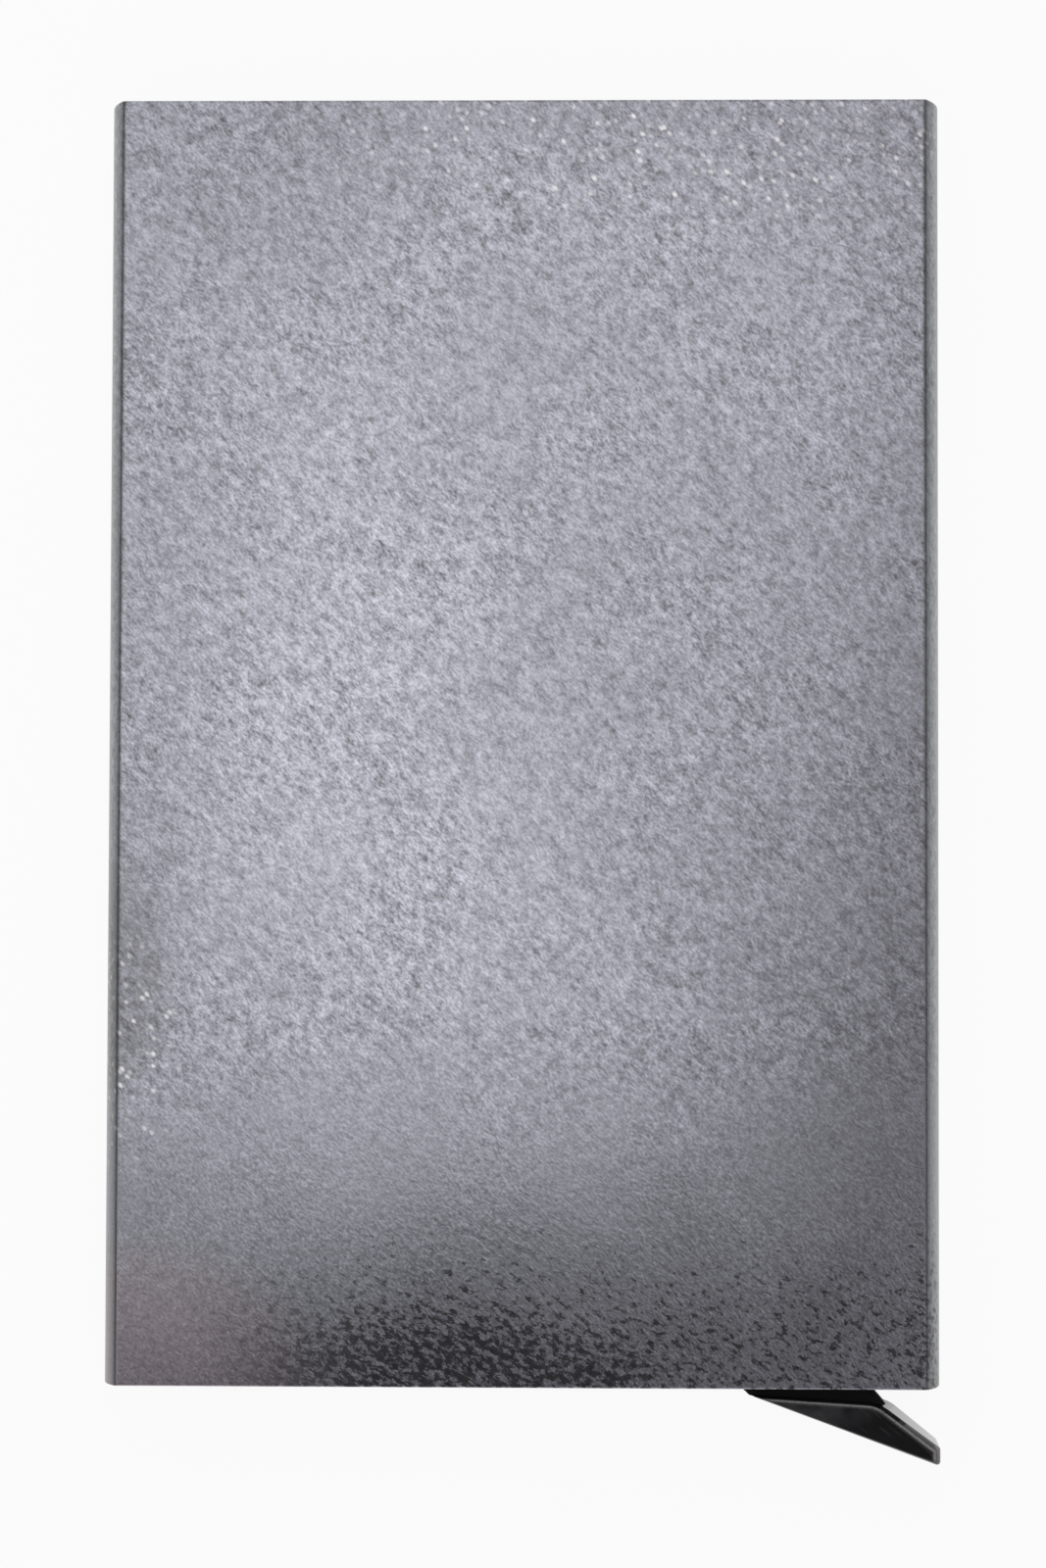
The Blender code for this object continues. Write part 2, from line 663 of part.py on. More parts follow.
def make_card_spring(side, name, material):
    """Sweep the flat strip of a leaf spring over its low bow, with a tab under the rail."""
    outer = RAIL_FACE - SPRING_EDGE
    tab_middle = SPRING_FOOT / 2
    tab_ends = (tab_middle - TAB_WIDTH / 2, tab_middle + TAB_WIDTH / 2)
    stations = [(0, outer, 0), (tab_ends[0], outer, 0), (tab_ends[0] + TAB_TAPER, tab_end(0), 0)]
    stations += [(tab_ends[1] - TAB_TAPER, tab_end(0), 0), (tab_ends[1], outer, 0)]
    bow = SPRING_LENGTH - 2 * SPRING_FOOT
    for step in range(SPRING_STEPS + 1):
        share = step / SPRING_STEPS
        lift = SPRING_RISE * (1 - math.cos(math.tau * share)) / 2
        stations.append((SPRING_FOOT + bow * share, outer, lift))
    stations.append((SPRING_LENGTH, outer, 0))
    rings = []
    for along, edge, lift in stations:
        near = side * (outer - SPRING_WIDTH)
        place = height(SPRING_START + along)
        low = CORE_LOW + lift
        high = low + SPRING_THICKNESS
        corners = [(near, low), (side * edge, low), (side * edge, high), (near, high)]
        rings.append([Vector((x, place, z)) for x, z in corners])
    return skin(name, rings, material=material)


def make_felt_strip(side, name, material):
    """Make the felt strip on the front wall that the cards rub on."""
    far = side * (RAIL_FACE - SPRING_EDGE)
    near = far - side * FELT_WIDTH
    corners = box_outline(*sorted((near, far)), height(FELT_START), height(FELT_START + FELT_LENGTH))
    outline = round_corners(corners, [FELT_CORNER] * len(corners))
    return slab(name, outline, CORE_HIGH - FELT_THICKNESS, CORE_HIGH, material=material)


def main():
    """Clear the scene and build every piece of the case."""
    for item in list(bpy.data.objects):
        bpy.data.objects.remove(item, do_unlink=True)
    anodised = finish("anodised_aluminium", (0.35, 0.36, 0.39), 0.45, 1.0)
    moulded = finish("black_nylon", (0.018, 0.018, 0.021), 0.40, 0.0)
    trigger = finish("trigger_nylon", (0.015, 0.015, 0.018), 0.30, 0.0)
    steel = finish("bright_steel", (0.62, 0.62, 0.60), 0.25, 1.0)
    felt = finish("grey_felt", (0.05, 0.05, 0.055), 0.95, 0.0)
    make_sleeve(anodised)
    make_base(moulded)
    make_cover(moulded)
    make_pin(steel)
    make_lever(trigger)
    for side, word in ((-1, "left"), (1, "right")):
        make_guide_rail(side, f"guide_rail_{word}", moulded)
        make_card_spring(side, f"card_spring_{word}", steel)
        make_felt_strip(side, f"felt_strip_{word}", felt)


main()
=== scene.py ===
# %% [markdown]
# # A pop-up card case
#
# The object is a flat metal sleeve for a stack of cards. It is open at the top, and a black
# trigger sticks out at its lower right corner. The trigger turns a stepped arm inside, which
# fans the cards out. This lesson dresses the finished construction: it gives every piece its
# finish, and it makes the pieces that show again with finer surfaces.
#
# Everything is in metres. The case lies on its back: +X is to the right, +Y runs towards the
# card mouth and +Z comes out of the front face.

# %% Load the construction
import json
import math

import bmesh
import bpy
import numpy as np
from mathutils import Matrix, Vector


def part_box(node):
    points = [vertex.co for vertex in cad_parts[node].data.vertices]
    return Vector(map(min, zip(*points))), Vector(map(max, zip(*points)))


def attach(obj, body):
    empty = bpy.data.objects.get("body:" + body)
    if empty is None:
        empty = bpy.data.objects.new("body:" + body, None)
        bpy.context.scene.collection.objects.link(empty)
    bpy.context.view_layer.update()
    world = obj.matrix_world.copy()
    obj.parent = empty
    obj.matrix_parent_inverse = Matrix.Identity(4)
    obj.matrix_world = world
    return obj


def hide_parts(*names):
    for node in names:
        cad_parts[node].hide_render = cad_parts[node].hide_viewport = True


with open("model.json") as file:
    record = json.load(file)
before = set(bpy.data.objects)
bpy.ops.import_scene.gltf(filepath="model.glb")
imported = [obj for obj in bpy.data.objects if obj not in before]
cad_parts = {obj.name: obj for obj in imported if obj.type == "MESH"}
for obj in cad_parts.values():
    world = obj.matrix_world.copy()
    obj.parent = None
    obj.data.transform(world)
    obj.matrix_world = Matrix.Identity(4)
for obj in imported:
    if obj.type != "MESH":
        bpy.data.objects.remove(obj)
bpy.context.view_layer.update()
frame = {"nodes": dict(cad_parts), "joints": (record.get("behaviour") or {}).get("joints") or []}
print("pieces in the construction:", sorted(frame["nodes"]))

# %% [markdown]
# ## The camera
#
# The photograph looks almost straight down on the case, from a little below and to the right,
# so the lower end looks slightly wider and the right-hand side shows more than the left. A long
# lens from about a third of a metre gives the same narrowing. The camera looks along its own
# -Z, so its three axes are worked out from the point that it looks at.

# %% Set up the camera
MM = 0.001
CAMERA_PLACE = Vector((8.4, -17.8, 328.7)) * MM
CAMERA_TARGET = Vector((0.0, -3.16, 4.0)) * MM
CAMERA_ROLL = math.radians(0.17)
CAMERA_LENS = 98.1
CAMERA_CLIP = 10 * MM

view_data = bpy.data.cameras.new("view")
view_data.lens = CAMERA_LENS
view_data.clip_start = CAMERA_CLIP
view = bpy.data.objects.new("view", view_data)
bpy.context.scene.collection.objects.link(view)
backwards = (CAMERA_PLACE - CAMERA_TARGET).normalized()
rightwards = Vector((0, 1, 0)).cross(backwards).normalized()
axes = Matrix((rightwards, backwards.cross(rightwards), backwards)).transposed()
roll = Matrix.Rotation(CAMERA_ROLL, 4, "Z")
view.matrix_world = Matrix.Translation(CAMERA_PLACE) @ axes.to_4x4() @ roll
bpy.context.scene.camera = view
print("camera distance in mm:", round((CAMERA_PLACE - CAMERA_TARGET).length / MM))

# %% [markdown]
# ## Patterns as sums
#
# A finish is built from patterns: a grain, a cloudiness, a mask along the edges. Each pattern is
# a number at every point of the surface. The class below wraps the output of a shader node, so
# that patterns can be added and multiplied like plain numbers. Python calls the reflected
# methods, such as __rsub__, when the plain number stands on the left, as in 1 - mask.

# %% A signal that can be calculated with
class Signal:
    """One output of a shader node. An operator on it adds the Math node that works it out."""

    def __init__(self, tree, socket=None):
        self.tree = tree
        self.socket = socket

    def add(self, kind, settings=None, inputs=None, output=0):
        """Add a node of a type, set its settings first, then its inputs, and return one output."""
        node = self.tree.nodes.new(kind)
        for name, value in (settings or {}).items():
            setattr(node, name, value)
        for name, value in (inputs or {}).items():
            if isinstance(value, Signal):
                self.tree.links.new(value.socket, node.inputs[name])
            else:
                node.inputs[name].default_value = value
        return Signal(self.tree, node.outputs[output])

    def math(self, operation, first, second=0.0):
        """Add a Math node for an operation on two values, each a signal or a plain number."""
        return self.add("ShaderNodeMath", {"operation": operation}, {0: first, 1: second})

    def __add__(self, other):
        return self.math("ADD", self, other)

    __radd__ = __add__

    def __mul__(self, other):
        return self.math("MULTIPLY", self, other)

    __rmul__ = __mul__

    def __sub__(self, other):
        return self.math("SUBTRACT", self, other)

    def __rsub__(self, other):
        return self.math("SUBTRACT", other, self)

    def __abs__(self):
        return self.math("ABSOLUTE", self)

    def at_least(self, other):
        """Take whichever of the two is greater at each point."""
        return self.math("MAXIMUM", self, other)

    def rise(self, start, end, low=0.0, high=1.0):
        """Go smoothly from low to high while the signal goes from start to end."""
        limits = {"Value": self, "From Min": start, "From Max": end, "To Min": low, "To Max": high}
        return self.add("ShaderNodeMapRange", {"interpolation_type": "SMOOTHSTEP"}, limits)

    def tint(self, first, second):
        """Go from the first colour to the second while the signal goes from 0 to 1.

        A Mix node has sockets for every kind of value. Those for colours are inputs 6 and 7
        and output 2.
        """
        colours = {0: self, 6: first, 7: second}
        return self.add("ShaderNodeMix", {"data_type": "RGBA"}, colours, output=2)


# %% [markdown]
# A material starts as a Principled shader. The helpers below make it, hand out the object's own
# coordinates, and connect what varies over the surface. Numbers that are the same all over go
# straight onto the shader's sockets.

# %% Helpers for finishes
def new_finish(name, metallic=0.0, **settings):
    """Return a new material, its shader node and a signal with the object's coordinates."""
    material = bpy.data.materials.new(name)
    material.use_nodes = True
    shader = material.node_tree.nodes["Principled BSDF"]
    shader.inputs["Metallic"].default_value = metallic
    for socket, value in settings.items():
        shader.inputs[socket.replace("_", " ")].default_value = value
    place = Signal(material.node_tree).add("ShaderNodeTexCoord", output="Object")
    return material, shader, place


def connect(shader, **signals):
    """Link signals to the shader's sockets of the same name."""
    for socket, signal in signals.items():
        signal.tree.links.new(signal.socket, shader.inputs[socket.replace("_", " ")])


def stretched(place, turn, stretch):
    """Turn the coordinates about Z, then stretch the pattern along the turned axes."""
    inputs = {"Vector": place, "Rotation": (0, 0, turn), "Scale": stretch}
    return place.add("ShaderNodeMapping", {"vector_type": "TEXTURE"}, inputs)


def noise(place, size, detail=2.0, roughness=0.5, offset=0.0):
    """Return a cloudy pattern with features of about the given size in metres.

    It averages 0.5, and most of it lies between 0.3 and 0.7.
    """
    moved = place.add("ShaderNodeVectorMath", {"operation": "ADD"}, {0: place, 1: (offset,) * 3})
    inputs = {"Vector": moved, "Scale": 1 / size, "Detail": detail, "Roughness": roughness}
    return place.add("ShaderNodeTexNoise", {"noise_dimensions": "3D"}, inputs)


def relief(height, depth):
    """Return the normal of a surface whose height varies by depth, in metres."""
    inputs = {"Strength": 1.0, "Distance": depth, "Height": height}
    return height.add("ShaderNodeBump", inputs=inputs)


def grey(level, warm=0.0, cool=0.0):
    """Return a nearly neutral colour: warm raises its red, cool raises its blue."""
    return (level * (1 + warm), level, level * (1 + cool), 1)


# %% [markdown]
# Marks lie at certain places on the case: some are dirt, and some are painted light and shade.
# A mask for such a place is 1 in its middle and falls off towards an ellipse. The square of the
# distance, as a share of the ellipse's reach, is the sum of two squares, so no root is needed.

# %% Masks for places on the case
SOLID_PART = 0.2


def plan_view(place):
    """Return signals for the place across and along the case, in metres."""
    axis = place.add("ShaderNodeSeparateXYZ", inputs={"Vector": place}).socket.node.outputs
    return Signal(place.tree, axis["X"]), Signal(place.tree, axis["Y"])


def spot(place, centre, reach):
    """Return a mask that is 1 round a centre and falls to 0 at an ellipse, all in millimetres."""
    across, along = plan_view(place)
    aside = (across - centre[0] * MM) * (1 / (reach[0] * MM))
    above = (along - centre[1] * MM) * (1 / (reach[1] * MM))
    return (aside * aside + above * above).rise(1.0, SOLID_PART)


# %% [markdown]
# ## The metal finish
#
# The sleeve is an aluminium extrusion that was blasted with fine beads and anodised titanium
# grey. Close up, the photograph shows a fine grain that runs slightly from the upper left to the
# lower right, with light and dark flecks about a third of a millimetre long. The flecks are tiny
# slopes that catch the light. A small relief alone would do it, but it would vanish wherever the
# light is even, so most of the grain is painted light and shade in the colour, and a smaller
# share is relief.
#
# The grain is livelier in some places than in others, and it is weaker towards the lower end.
# A coloured metal loses its colour at a glancing angle. Here the oxide layer keeps some of it, so
# the grazing tint stays a little below white.

# %% Grain of blasted and anodised aluminium
GRAIN_TURN = math.radians(-47)
GRAIN_STRETCH = (1.8, 1.0, 1.0)
GRAIN_SIZE = 0.15 * MM
FLECK_SIZE = 0.46 * MM
CLOUD_SIZE = 9.0 * MM
FINE_CONTRAST = 1.5
FLECK_CONTRAST = 0.9
CLOUD_CONTRAST = 0.12
LIVELY_LIMITS = (0.3, 0.7)
DULLEST, LIVELIEST = 0.85, 1.2
EVENED_UP_TO = 28.0 * MM
EVENED_FINE = 0.4
EVENED_FLECKS = 0.8
GRAIN_DEPTH = 0.012 * MM
GRAZING_TINT = (0.88, 0.88, 0.84, 1)
DARK_AND_SHADED_GRAINS = grey(0.14, warm=-0.01, cool=0.08)
LIGHT_AND_LIT_GRAINS = grey(0.69, warm=-0.04, cool=0.12)

sleeve_low, sleeve_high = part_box("case_sleeve")
anodised, shader, place = new_finish("anodised_aluminium", metallic=1.0, Specular_Tint=GRAZING_TINT)
turned = stretched(place, GRAIN_TURN, GRAIN_STRETCH)
fine = noise(turned, GRAIN_SIZE, detail=3.0, roughness=0.6)
flecks = noise(turned, FLECK_SIZE, detail=1.0, offset=0.3)
clouds = noise(place, CLOUD_SIZE, detail=3.0, offset=0.7)
lively = noise(place, CLOUD_SIZE * 1.4, detail=1.0, offset=4.1)
lively = lively.rise(*LIVELY_LIMITS, DULLEST, LIVELIEST)
across, along = plan_view(place)
from_end = along - sleeve_low.y
evened = from_end.rise(EVENED_UP_TO, EVENED_UP_TO / 2)
grain = (fine - 0.5) * FINE_CONTRAST * (lively - evened * EVENED_FINE)
grain = grain + (flecks - 0.5) * FLECK_CONTRAST * (lively - evened * EVENED_FLECKS)
tone = grain + (clouds - 0.5) * CLOUD_CONTRAST + 0.5
# Partly the metal's own tone, and partly painted light and shade of its tiny slopes.
colour = tone.tint(DARK_AND_SHADED_GRAINS, LIGHT_AND_LIT_GRAINS)
print("grain fades out from", EVENED_UP_TO / MM, "mm above the lower end")

# %% [markdown]
# More marks lie over the grain. The table gives the centre and the reach of each mark, in
# millimetres. At the mouth and at the left side, glints are painted: small white spots in the
# colour that stand for grains catching the light. Each is a rounded cell of a Voronoi pattern. A
# number that chance gives to each cell says how bright its glint is. A darker, brownish patch lies
# between the glints at the left side, and a faint reddish tint of painted reflected light lies at
# the lower left corner.

# %% Painted glints, a dark patch and a painted reddish tint
MARKS = {
    "mouth": ((12, 49), (36, 13)),
    "left_side": ((-32, -24), (8, 12)),
    "left_dark_patch": ((-30.5, -18), (5, 10)),
    "tinge": ((-29, -49), (16, 13)),
    "painted_dark_reflection": ((-6, -51), (22, 10)),
    "right_edge": ((32, -42), (4, 12)),
}
DARK_PATCH_COLOUR = grey(0.08, warm=0.2)
REFLECTED_TINGE = (0.56, 0.33, 0.33, 1)
DARKENED, TINGED = 0.3, 0.2
PATCH_LIMITS = (0.30, 0.60)
BETWEEN_PATCHES = 0.2
GLINT_SPACING = 0.48 * MM
GLINT_STRETCH = (1.5, 1.0, 1.0)
GLINT_EDGE, GLINT_CORE = 0.50, 0.08
DIM_CHANCE = 0.15

mark = {name: spot(place, centre, reach) for name, (centre, reach) in MARKS.items()}
# Darker and browner at the left side, between the glints.
colour = (mark["left_dark_patch"] * DARKENED).tint(colour, DARK_PATCH_COLOUR)
# Painted reflected light: a faint reddish tinge at the lower left corner.
colour = (mark["tinge"] * TINGED).tint(colour, REFLECTED_TINGE)
patchy = noise(place, CLOUD_SIZE / 3, detail=2.0, offset=1.9).rise(*PATCH_LIMITS, BETWEEN_PATCHES)
glint_places = (mark["mouth"] * patchy).at_least(mark["left_side"])
inputs = {"Vector": stretched(place, GRAIN_TURN, GLINT_STRETCH), "Scale": 1 / GLINT_SPACING}
cells = place.add("ShaderNodeTexVoronoi", {"voronoi_dimensions": "3D"}, inputs).socket.node.outputs
chance = place.add("ShaderNodeSeparateColor", inputs={"Color": Signal(place.tree, cells["Color"])})
strength = chance.rise(DIM_CHANCE, 1.0)
# Painted glints: white spots that stand for grains catching the light.
painted_glints = Signal(place.tree, cells["Distance"]).rise(GLINT_EDGE, GLINT_CORE) * strength * strength * glint_places
colour = painted_glints.tint(colour, grey(1.0))
print("marks on the metal:", sorted(mark))

# %% [markdown]
# At the lower end, dark specks lie in the pits of the blasted surface: partly dirt, and partly a
# painted dark reflection. A pit shows where a fractal noise is above a limit. Nearness to the
# lower end adds to the noise, so the pits get denser towards the lower edge, and they are densest
# in one patch left of the middle, where the dark reflection is painted, and along the right-hand
# edge. The far left stays nearly free of them.

# %% Dark specks at the lower end: dirt and painted dark reflection
SPECKLED_UP_TO = 14.0 * MM
PIT_SIZE = 0.50 * MM
PIT_STRETCH = (1.6, 1.0, 1.0)
PIT_TURN = math.radians(-28)
PIT_LIMITS = (0.61, 0.70)
LOW_END_ADDS, DARK_REFLECTION_ADDS = 0.10, 0.08
RIGHT_EDGE_SHARE = 0.6
SPARSE_UP_TO, PITTED_FROM = -26 * MM, -10 * MM
SPARSE_SHARE = 0.15
PITS_FULL_AT = 0.2
DIRT_AND_SHADE, SPECKS_SHOW = grey(0.03, warm=0.06), 0.8

near_low_end = from_end.rise(SPECKLED_UP_TO, SPECKLED_UP_TO / 4)
painted_dark_reflection = mark["painted_dark_reflection"].at_least(mark["right_edge"] * RIGHT_EDGE_SHARE)
pits = noise(stretched(place, PIT_TURN, PIT_STRETCH), PIT_SIZE, detail=4.0, roughness=0.75, offset=3.1)
pits = (pits + painted_dark_reflection * DARK_REFLECTION_ADDS + near_low_end * LOW_END_ADDS).rise(*PIT_LIMITS)
pits = pits * near_low_end.rise(0.0, PITS_FULL_AT) * across.rise(SPARSE_UP_TO, PITTED_FROM, SPARSE_SHARE)
# Dark specks: partly dirt, and partly painted dark reflection.
colour = (pits * SPECKS_SHOW).tint(colour, DIRT_AND_SHADE)
print("pits reach", SPECKLED_UP_TO / MM, "mm above the lower end")

# %% [markdown]
# A highlight is painted along the middle of the arched sides, and shade is painted in the crease
# where they meet the faces, which is also rougher. Both follow from the distance to the outermost
# side.

# %% Painted highlight and shade on the sides, and the finished metal
CREASE_START = 0.4 * MM
CREASE = 1.15 * MM
CREASE_FADE = 0.3 * MM
SIDE_HIGHLIGHT_WIDTH = 0.6 * MM
CREASE_SHADE, CREASE_SHADE_SHOWS = grey(0.08), 0.7
SIDE_HIGHLIGHT, SIDE_HIGHLIGHT_SHOWS = grey(0.75, cool=-0.06), 0.5
METAL_ROUGHNESS = 0.23
METAL_UNEVENNESS = 0.06
CREASE_ROUGHER = 0.15
FINE_RELIEF = 0.6

from_side = sleeve_high.x - abs(across)
crease = from_side.rise(CREASE_START, CREASE) * from_side.rise(CREASE + CREASE_FADE, CREASE)
# Painted shade in the crease where the side meets the face.
colour = (crease * CREASE_SHADE_SHOWS).tint(colour, CREASE_SHADE)
# Painted highlight along the middle of the side.
colour = (from_side.rise(SIDE_HIGHLIGHT_WIDTH, 0.0) * SIDE_HIGHLIGHT_SHOWS).tint(colour, SIDE_HIGHLIGHT)
gloss = METAL_ROUGHNESS + (clouds - 0.5) * METAL_UNEVENNESS + (fine - 0.5) * METAL_UNEVENNESS
gloss = gloss + from_side.rise(CREASE, CREASE / 2) * CREASE_ROUGHER
slopes = relief(fine * FINE_RELIEF + flecks, GRAIN_DEPTH)
connect(shader, Base_Color=colour, Roughness=gloss, Normal=slopes)
print("made finish:", anodised.name)

# %% [markdown]
# ## The plastic finishes
#
# The base, its cover and the rails are injection-moulded nylon with the fine matt texture of a
# spark-eroded mould. The arm inside has the same texture, but a deeper, duller black is painted on
# it and it mirrors less: painted shade, since hardly any light comes back out of the narrow slot
# that it stands in.

# %% Matt nylon, and the arm with painted shade
NYLON_IOR = 1.53
MOULD_TEXTURE = 0.16 * MM
MOULD_DEPTH = 0.006 * MM
NYLON_GREYS = grey(0.012, cool=0.10), grey(0.026, cool=0.12)
NYLON_ROUGHNESS, NYLON_UNEVENNESS = 0.46, 0.14
ARM_MIRRORING = 0.12
ARM_SHADE_GREYS = grey(0.003, cool=0.15), grey(0.008, cool=0.2)
ARM_ROUGHNESS, ARM_UNEVENNESS = 0.45, 0.2

matt_nylon, shader, place = new_finish("black_nylon", IOR=NYLON_IOR)
texture = noise(place, MOULD_TEXTURE, detail=2.0)
clouds = noise(place, CLOUD_SIZE, detail=2.0)
colour = (texture * 0.6 + clouds * 0.4).tint(*NYLON_GREYS)
gloss = NYLON_ROUGHNESS + (clouds - 0.5) * NYLON_UNEVENNESS
connect(shader, Base_Color=colour, Roughness=gloss, Normal=relief(texture, MOULD_DEPTH))

# Painted shade: the arm's colour is a deeper black than the other nylon's.
shaded_arm_nylon, shader, place = new_finish("shaded_arm_nylon", IOR=NYLON_IOR, Specular_IOR_Level=ARM_MIRRORING)
texture = noise(place, MOULD_TEXTURE, detail=2.0)
gloss = ARM_ROUGHNESS + (texture - 0.5) * ARM_UNEVENNESS
connect(shader, Base_Color=texture.tint(*ARM_SHADE_GREYS), Roughness=gloss, Normal=relief(texture, MOULD_DEPTH))
print("made finishes:", matt_nylon.name, shaded_arm_nylon.name)

# %% [markdown]
# The trigger's mould was polished, so it is satin: it has a faint flow pattern and hairline
# scuffs from the thumb, and a little dust has settled near the sleeve. Two attributes that the
# trigger's mesh carries later say where a grey highlight is painted and where the thumb has
# polished it. The polished face also carries a film of skin oil, which the shader's coat stands
# for.

# %% Satin nylon with dust, scuffs, painted highlights and a film of oil
SATIN_GREYS = grey(0.002, cool=0.15), grey(0.009, cool=0.22)
SATIN_MIRRORING = 0.2
SATIN_ROUGHNESS, SATIN_UNEVENNESS = 0.30, 0.12
SCUFF_STRETCH = (14.0, 1.0, 1.0)
SCUFF_TURN = math.radians(-38)
SCUFF_LIMITS = (0.62, 0.74)
SCUFFED, SCUFFS_SHOW = grey(0.08, cool=0.1), 0.35
SCUFFS_ROUGHER, POLISH_SMOOTHER = 0.12, 0.26
FILM_ROUGHNESS = 0.03
FILM_IOR = 1.8
DUST_PLACE, DUST_REACH = (21.5, -49.8), (6.0, 2.2)
DUST, DUST_LIMITS = grey(0.045, cool=0.08), (0.2, 0.8)
HIGHLIGHT_GREY, HIGHLIGHT_LIMITS = grey(0.40, warm=0.03), (0.15, 0.5)

satin_nylon, shader, place = new_finish(
    "trigger_nylon", IOR=NYLON_IOR, Specular_IOR_Level=SATIN_MIRRORING,
    Coat_Roughness=FILM_ROUGHNESS, Coat_IOR=FILM_IOR)
texture = noise(place, MOULD_TEXTURE, detail=1.0)
flow = noise(place, CLOUD_SIZE / 4, detail=2.0)
scuffs = noise(stretched(place, SCUFF_TURN, SCUFF_STRETCH), MOULD_TEXTURE, detail=1.0)
scuffs = scuffs.rise(*SCUFF_LIMITS)
painted_highlight, polished = (place.add("ShaderNodeAttribute", {"attribute_name": name}, output="Fac")
                    for name in ("painted_highlight", "polished"))
colour = (texture * 0.5 + flow * 0.5).tint(*SATIN_GREYS)
colour = (spot(place, DUST_PLACE, DUST_REACH) * flow.rise(*DUST_LIMITS)).tint(colour, DUST)
colour = (scuffs * SCUFFS_SHOW).tint(colour, SCUFFED)
# Painted highlight: grey along the trigger's upper edges and at its tip.
colour = (painted_highlight * texture.rise(*HIGHLIGHT_LIMITS)).tint(colour, HIGHLIGHT_GREY)
gloss = SATIN_ROUGHNESS + (flow - 0.5) * SATIN_UNEVENNESS
gloss = gloss + scuffs * SCUFFS_ROUGHER - polished * POLISH_SMOOTHER
connect(shader, Base_Color=colour, Roughness=gloss, Coat_Weight=polished,
        Normal=relief(texture, MOULD_DEPTH / 3))
print("made finish:", satin_nylon.name)

# %% [markdown]
# ## Steel and felt
#
# The leaf springs are cut from cold-rolled strip, which keeps fine lines in the rolling
# direction, here along Y. The pin is ground rod, and the same finish serves it. The felt is
# pressed from grey wool: a mat of fibres that scatters light, so it has no gloss and a soft
# sheen where it is seen at a glancing angle.

# %% Rolled steel and pressed felt
ROLLING_STRETCH = (1.0, 30.0, 1.0)
ROLLING_SIZE = 0.07 * MM
ROLLING_DEPTH = 0.002 * MM
STEEL_GREYS = grey(0.50, warm=0.02), grey(0.68)
STEEL_SMOOTHEST, STEEL_UNEVENNESS = 0.22, 0.12
FIBRE_SIZE = 0.10 * MM
FIBRE_STRETCH = (5.0, 1.0, 1.0)
FIBRE_TURNS = (10, 70, 130)
FIBRE_DEPTH = 0.05 * MM
FIBRE_LIMITS = (0.35, 0.75)
FELT_GREYS = grey(0.028), grey(0.085, cool=0.05)
FELT_SMOOTHEST, FELT_UNEVENNESS = 0.85, 0.15

steel, shader, place = new_finish("bright_steel", metallic=1.0)
lines = noise(stretched(place, 0.0, ROLLING_STRETCH), ROLLING_SIZE, detail=2.0)
tinge = noise(place, CLOUD_SIZE / 2, detail=3.0)
colour = (lines * 0.5 + tinge * 0.5).tint(*STEEL_GREYS)
gloss = STEEL_SMOOTHEST + lines * STEEL_UNEVENNESS
connect(shader, Base_Color=colour, Roughness=gloss, Normal=relief(lines, ROLLING_DEPTH))

felt, shader, place = new_finish("grey_felt", Sheen_Weight=0.4, Sheen_Roughness=0.5)
fibres = [noise(stretched(place, math.radians(turn), FIBRE_STRETCH), FIBRE_SIZE, offset=turn)
          for turn in FIBRE_TURNS]
mat = fibres[0].at_least(fibres[1]).at_least(fibres[2])
colour = mat.rise(*FIBRE_LIMITS).tint(*FELT_GREYS)
gloss = FELT_SMOOTHEST + mat * FELT_UNEVENNESS
connect(shader, Base_Color=colour, Roughness=gloss, Normal=relief(mat, FIBRE_DEPTH))
print("made finishes:", steel.name, felt.name)

# %% [markdown]
# ## Surfaces from grids
#
# Every new piece is a grid of points. One parameter runs round a section, the other along a
# path, and each point joins its neighbours in both directions. Whole arrays are worked out at
# once, which is short to write and quick to run.

# %% Turn a grid of points into a piece
CRISP_ABOVE = math.radians(35)


def grid_quads(rows, columns, closed):
    """Join each point with the next in its row, which closes on itself, and with the next row."""
    row = np.arange(rows if closed else rows - 1)[:, None]
    column = np.arange(columns)[None, :]
    next_row, next_column = (row + 1) % rows, (column + 1) % columns
    corners = [row * columns + column, row * columns + next_column,
               next_row * columns + next_column, next_row * columns + column]
    return np.stack(np.broadcast_arrays(*corners), axis=-1).reshape(-1, 4)


def new_piece(name, mesh, body, finish):
    """Put a mesh into the scene with smooth faces and crisp edges, riding on a body."""
    mesh.shade_smooth()
    mesh.set_sharp_from_angle(angle=CRISP_ABOVE)
    mesh.materials.append(finish)
    piece = bpy.data.objects.new(name, mesh)
    bpy.context.scene.collection.objects.link(piece)
    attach(piece, body)
    return piece


def surface(name, grid, body, finish, closed=False):
    """Make a piece from rows x columns x 3 points. Rows that don't close are capped at both ends."""
    rows, columns = grid.shape[:2]
    faces = grid_quads(rows, columns, closed).tolist()
    if not closed:
        faces += [list(range(columns)), list(range((rows - 1) * columns, rows * columns))]
    mesh = bpy.data.meshes.new(name)
    mesh.from_pydata(grid.reshape(-1, 3), [], faces)
    tidy = bmesh.new()
    tidy.from_mesh(mesh)
    bmesh.ops.recalc_face_normals(tidy, faces=tidy.faces)
    tidy.to_mesh(mesh)
    tidy.free()
    piece = new_piece(name, mesh, body, finish)
    print(name, "has", len(mesh.polygons), "faces")
    return piece


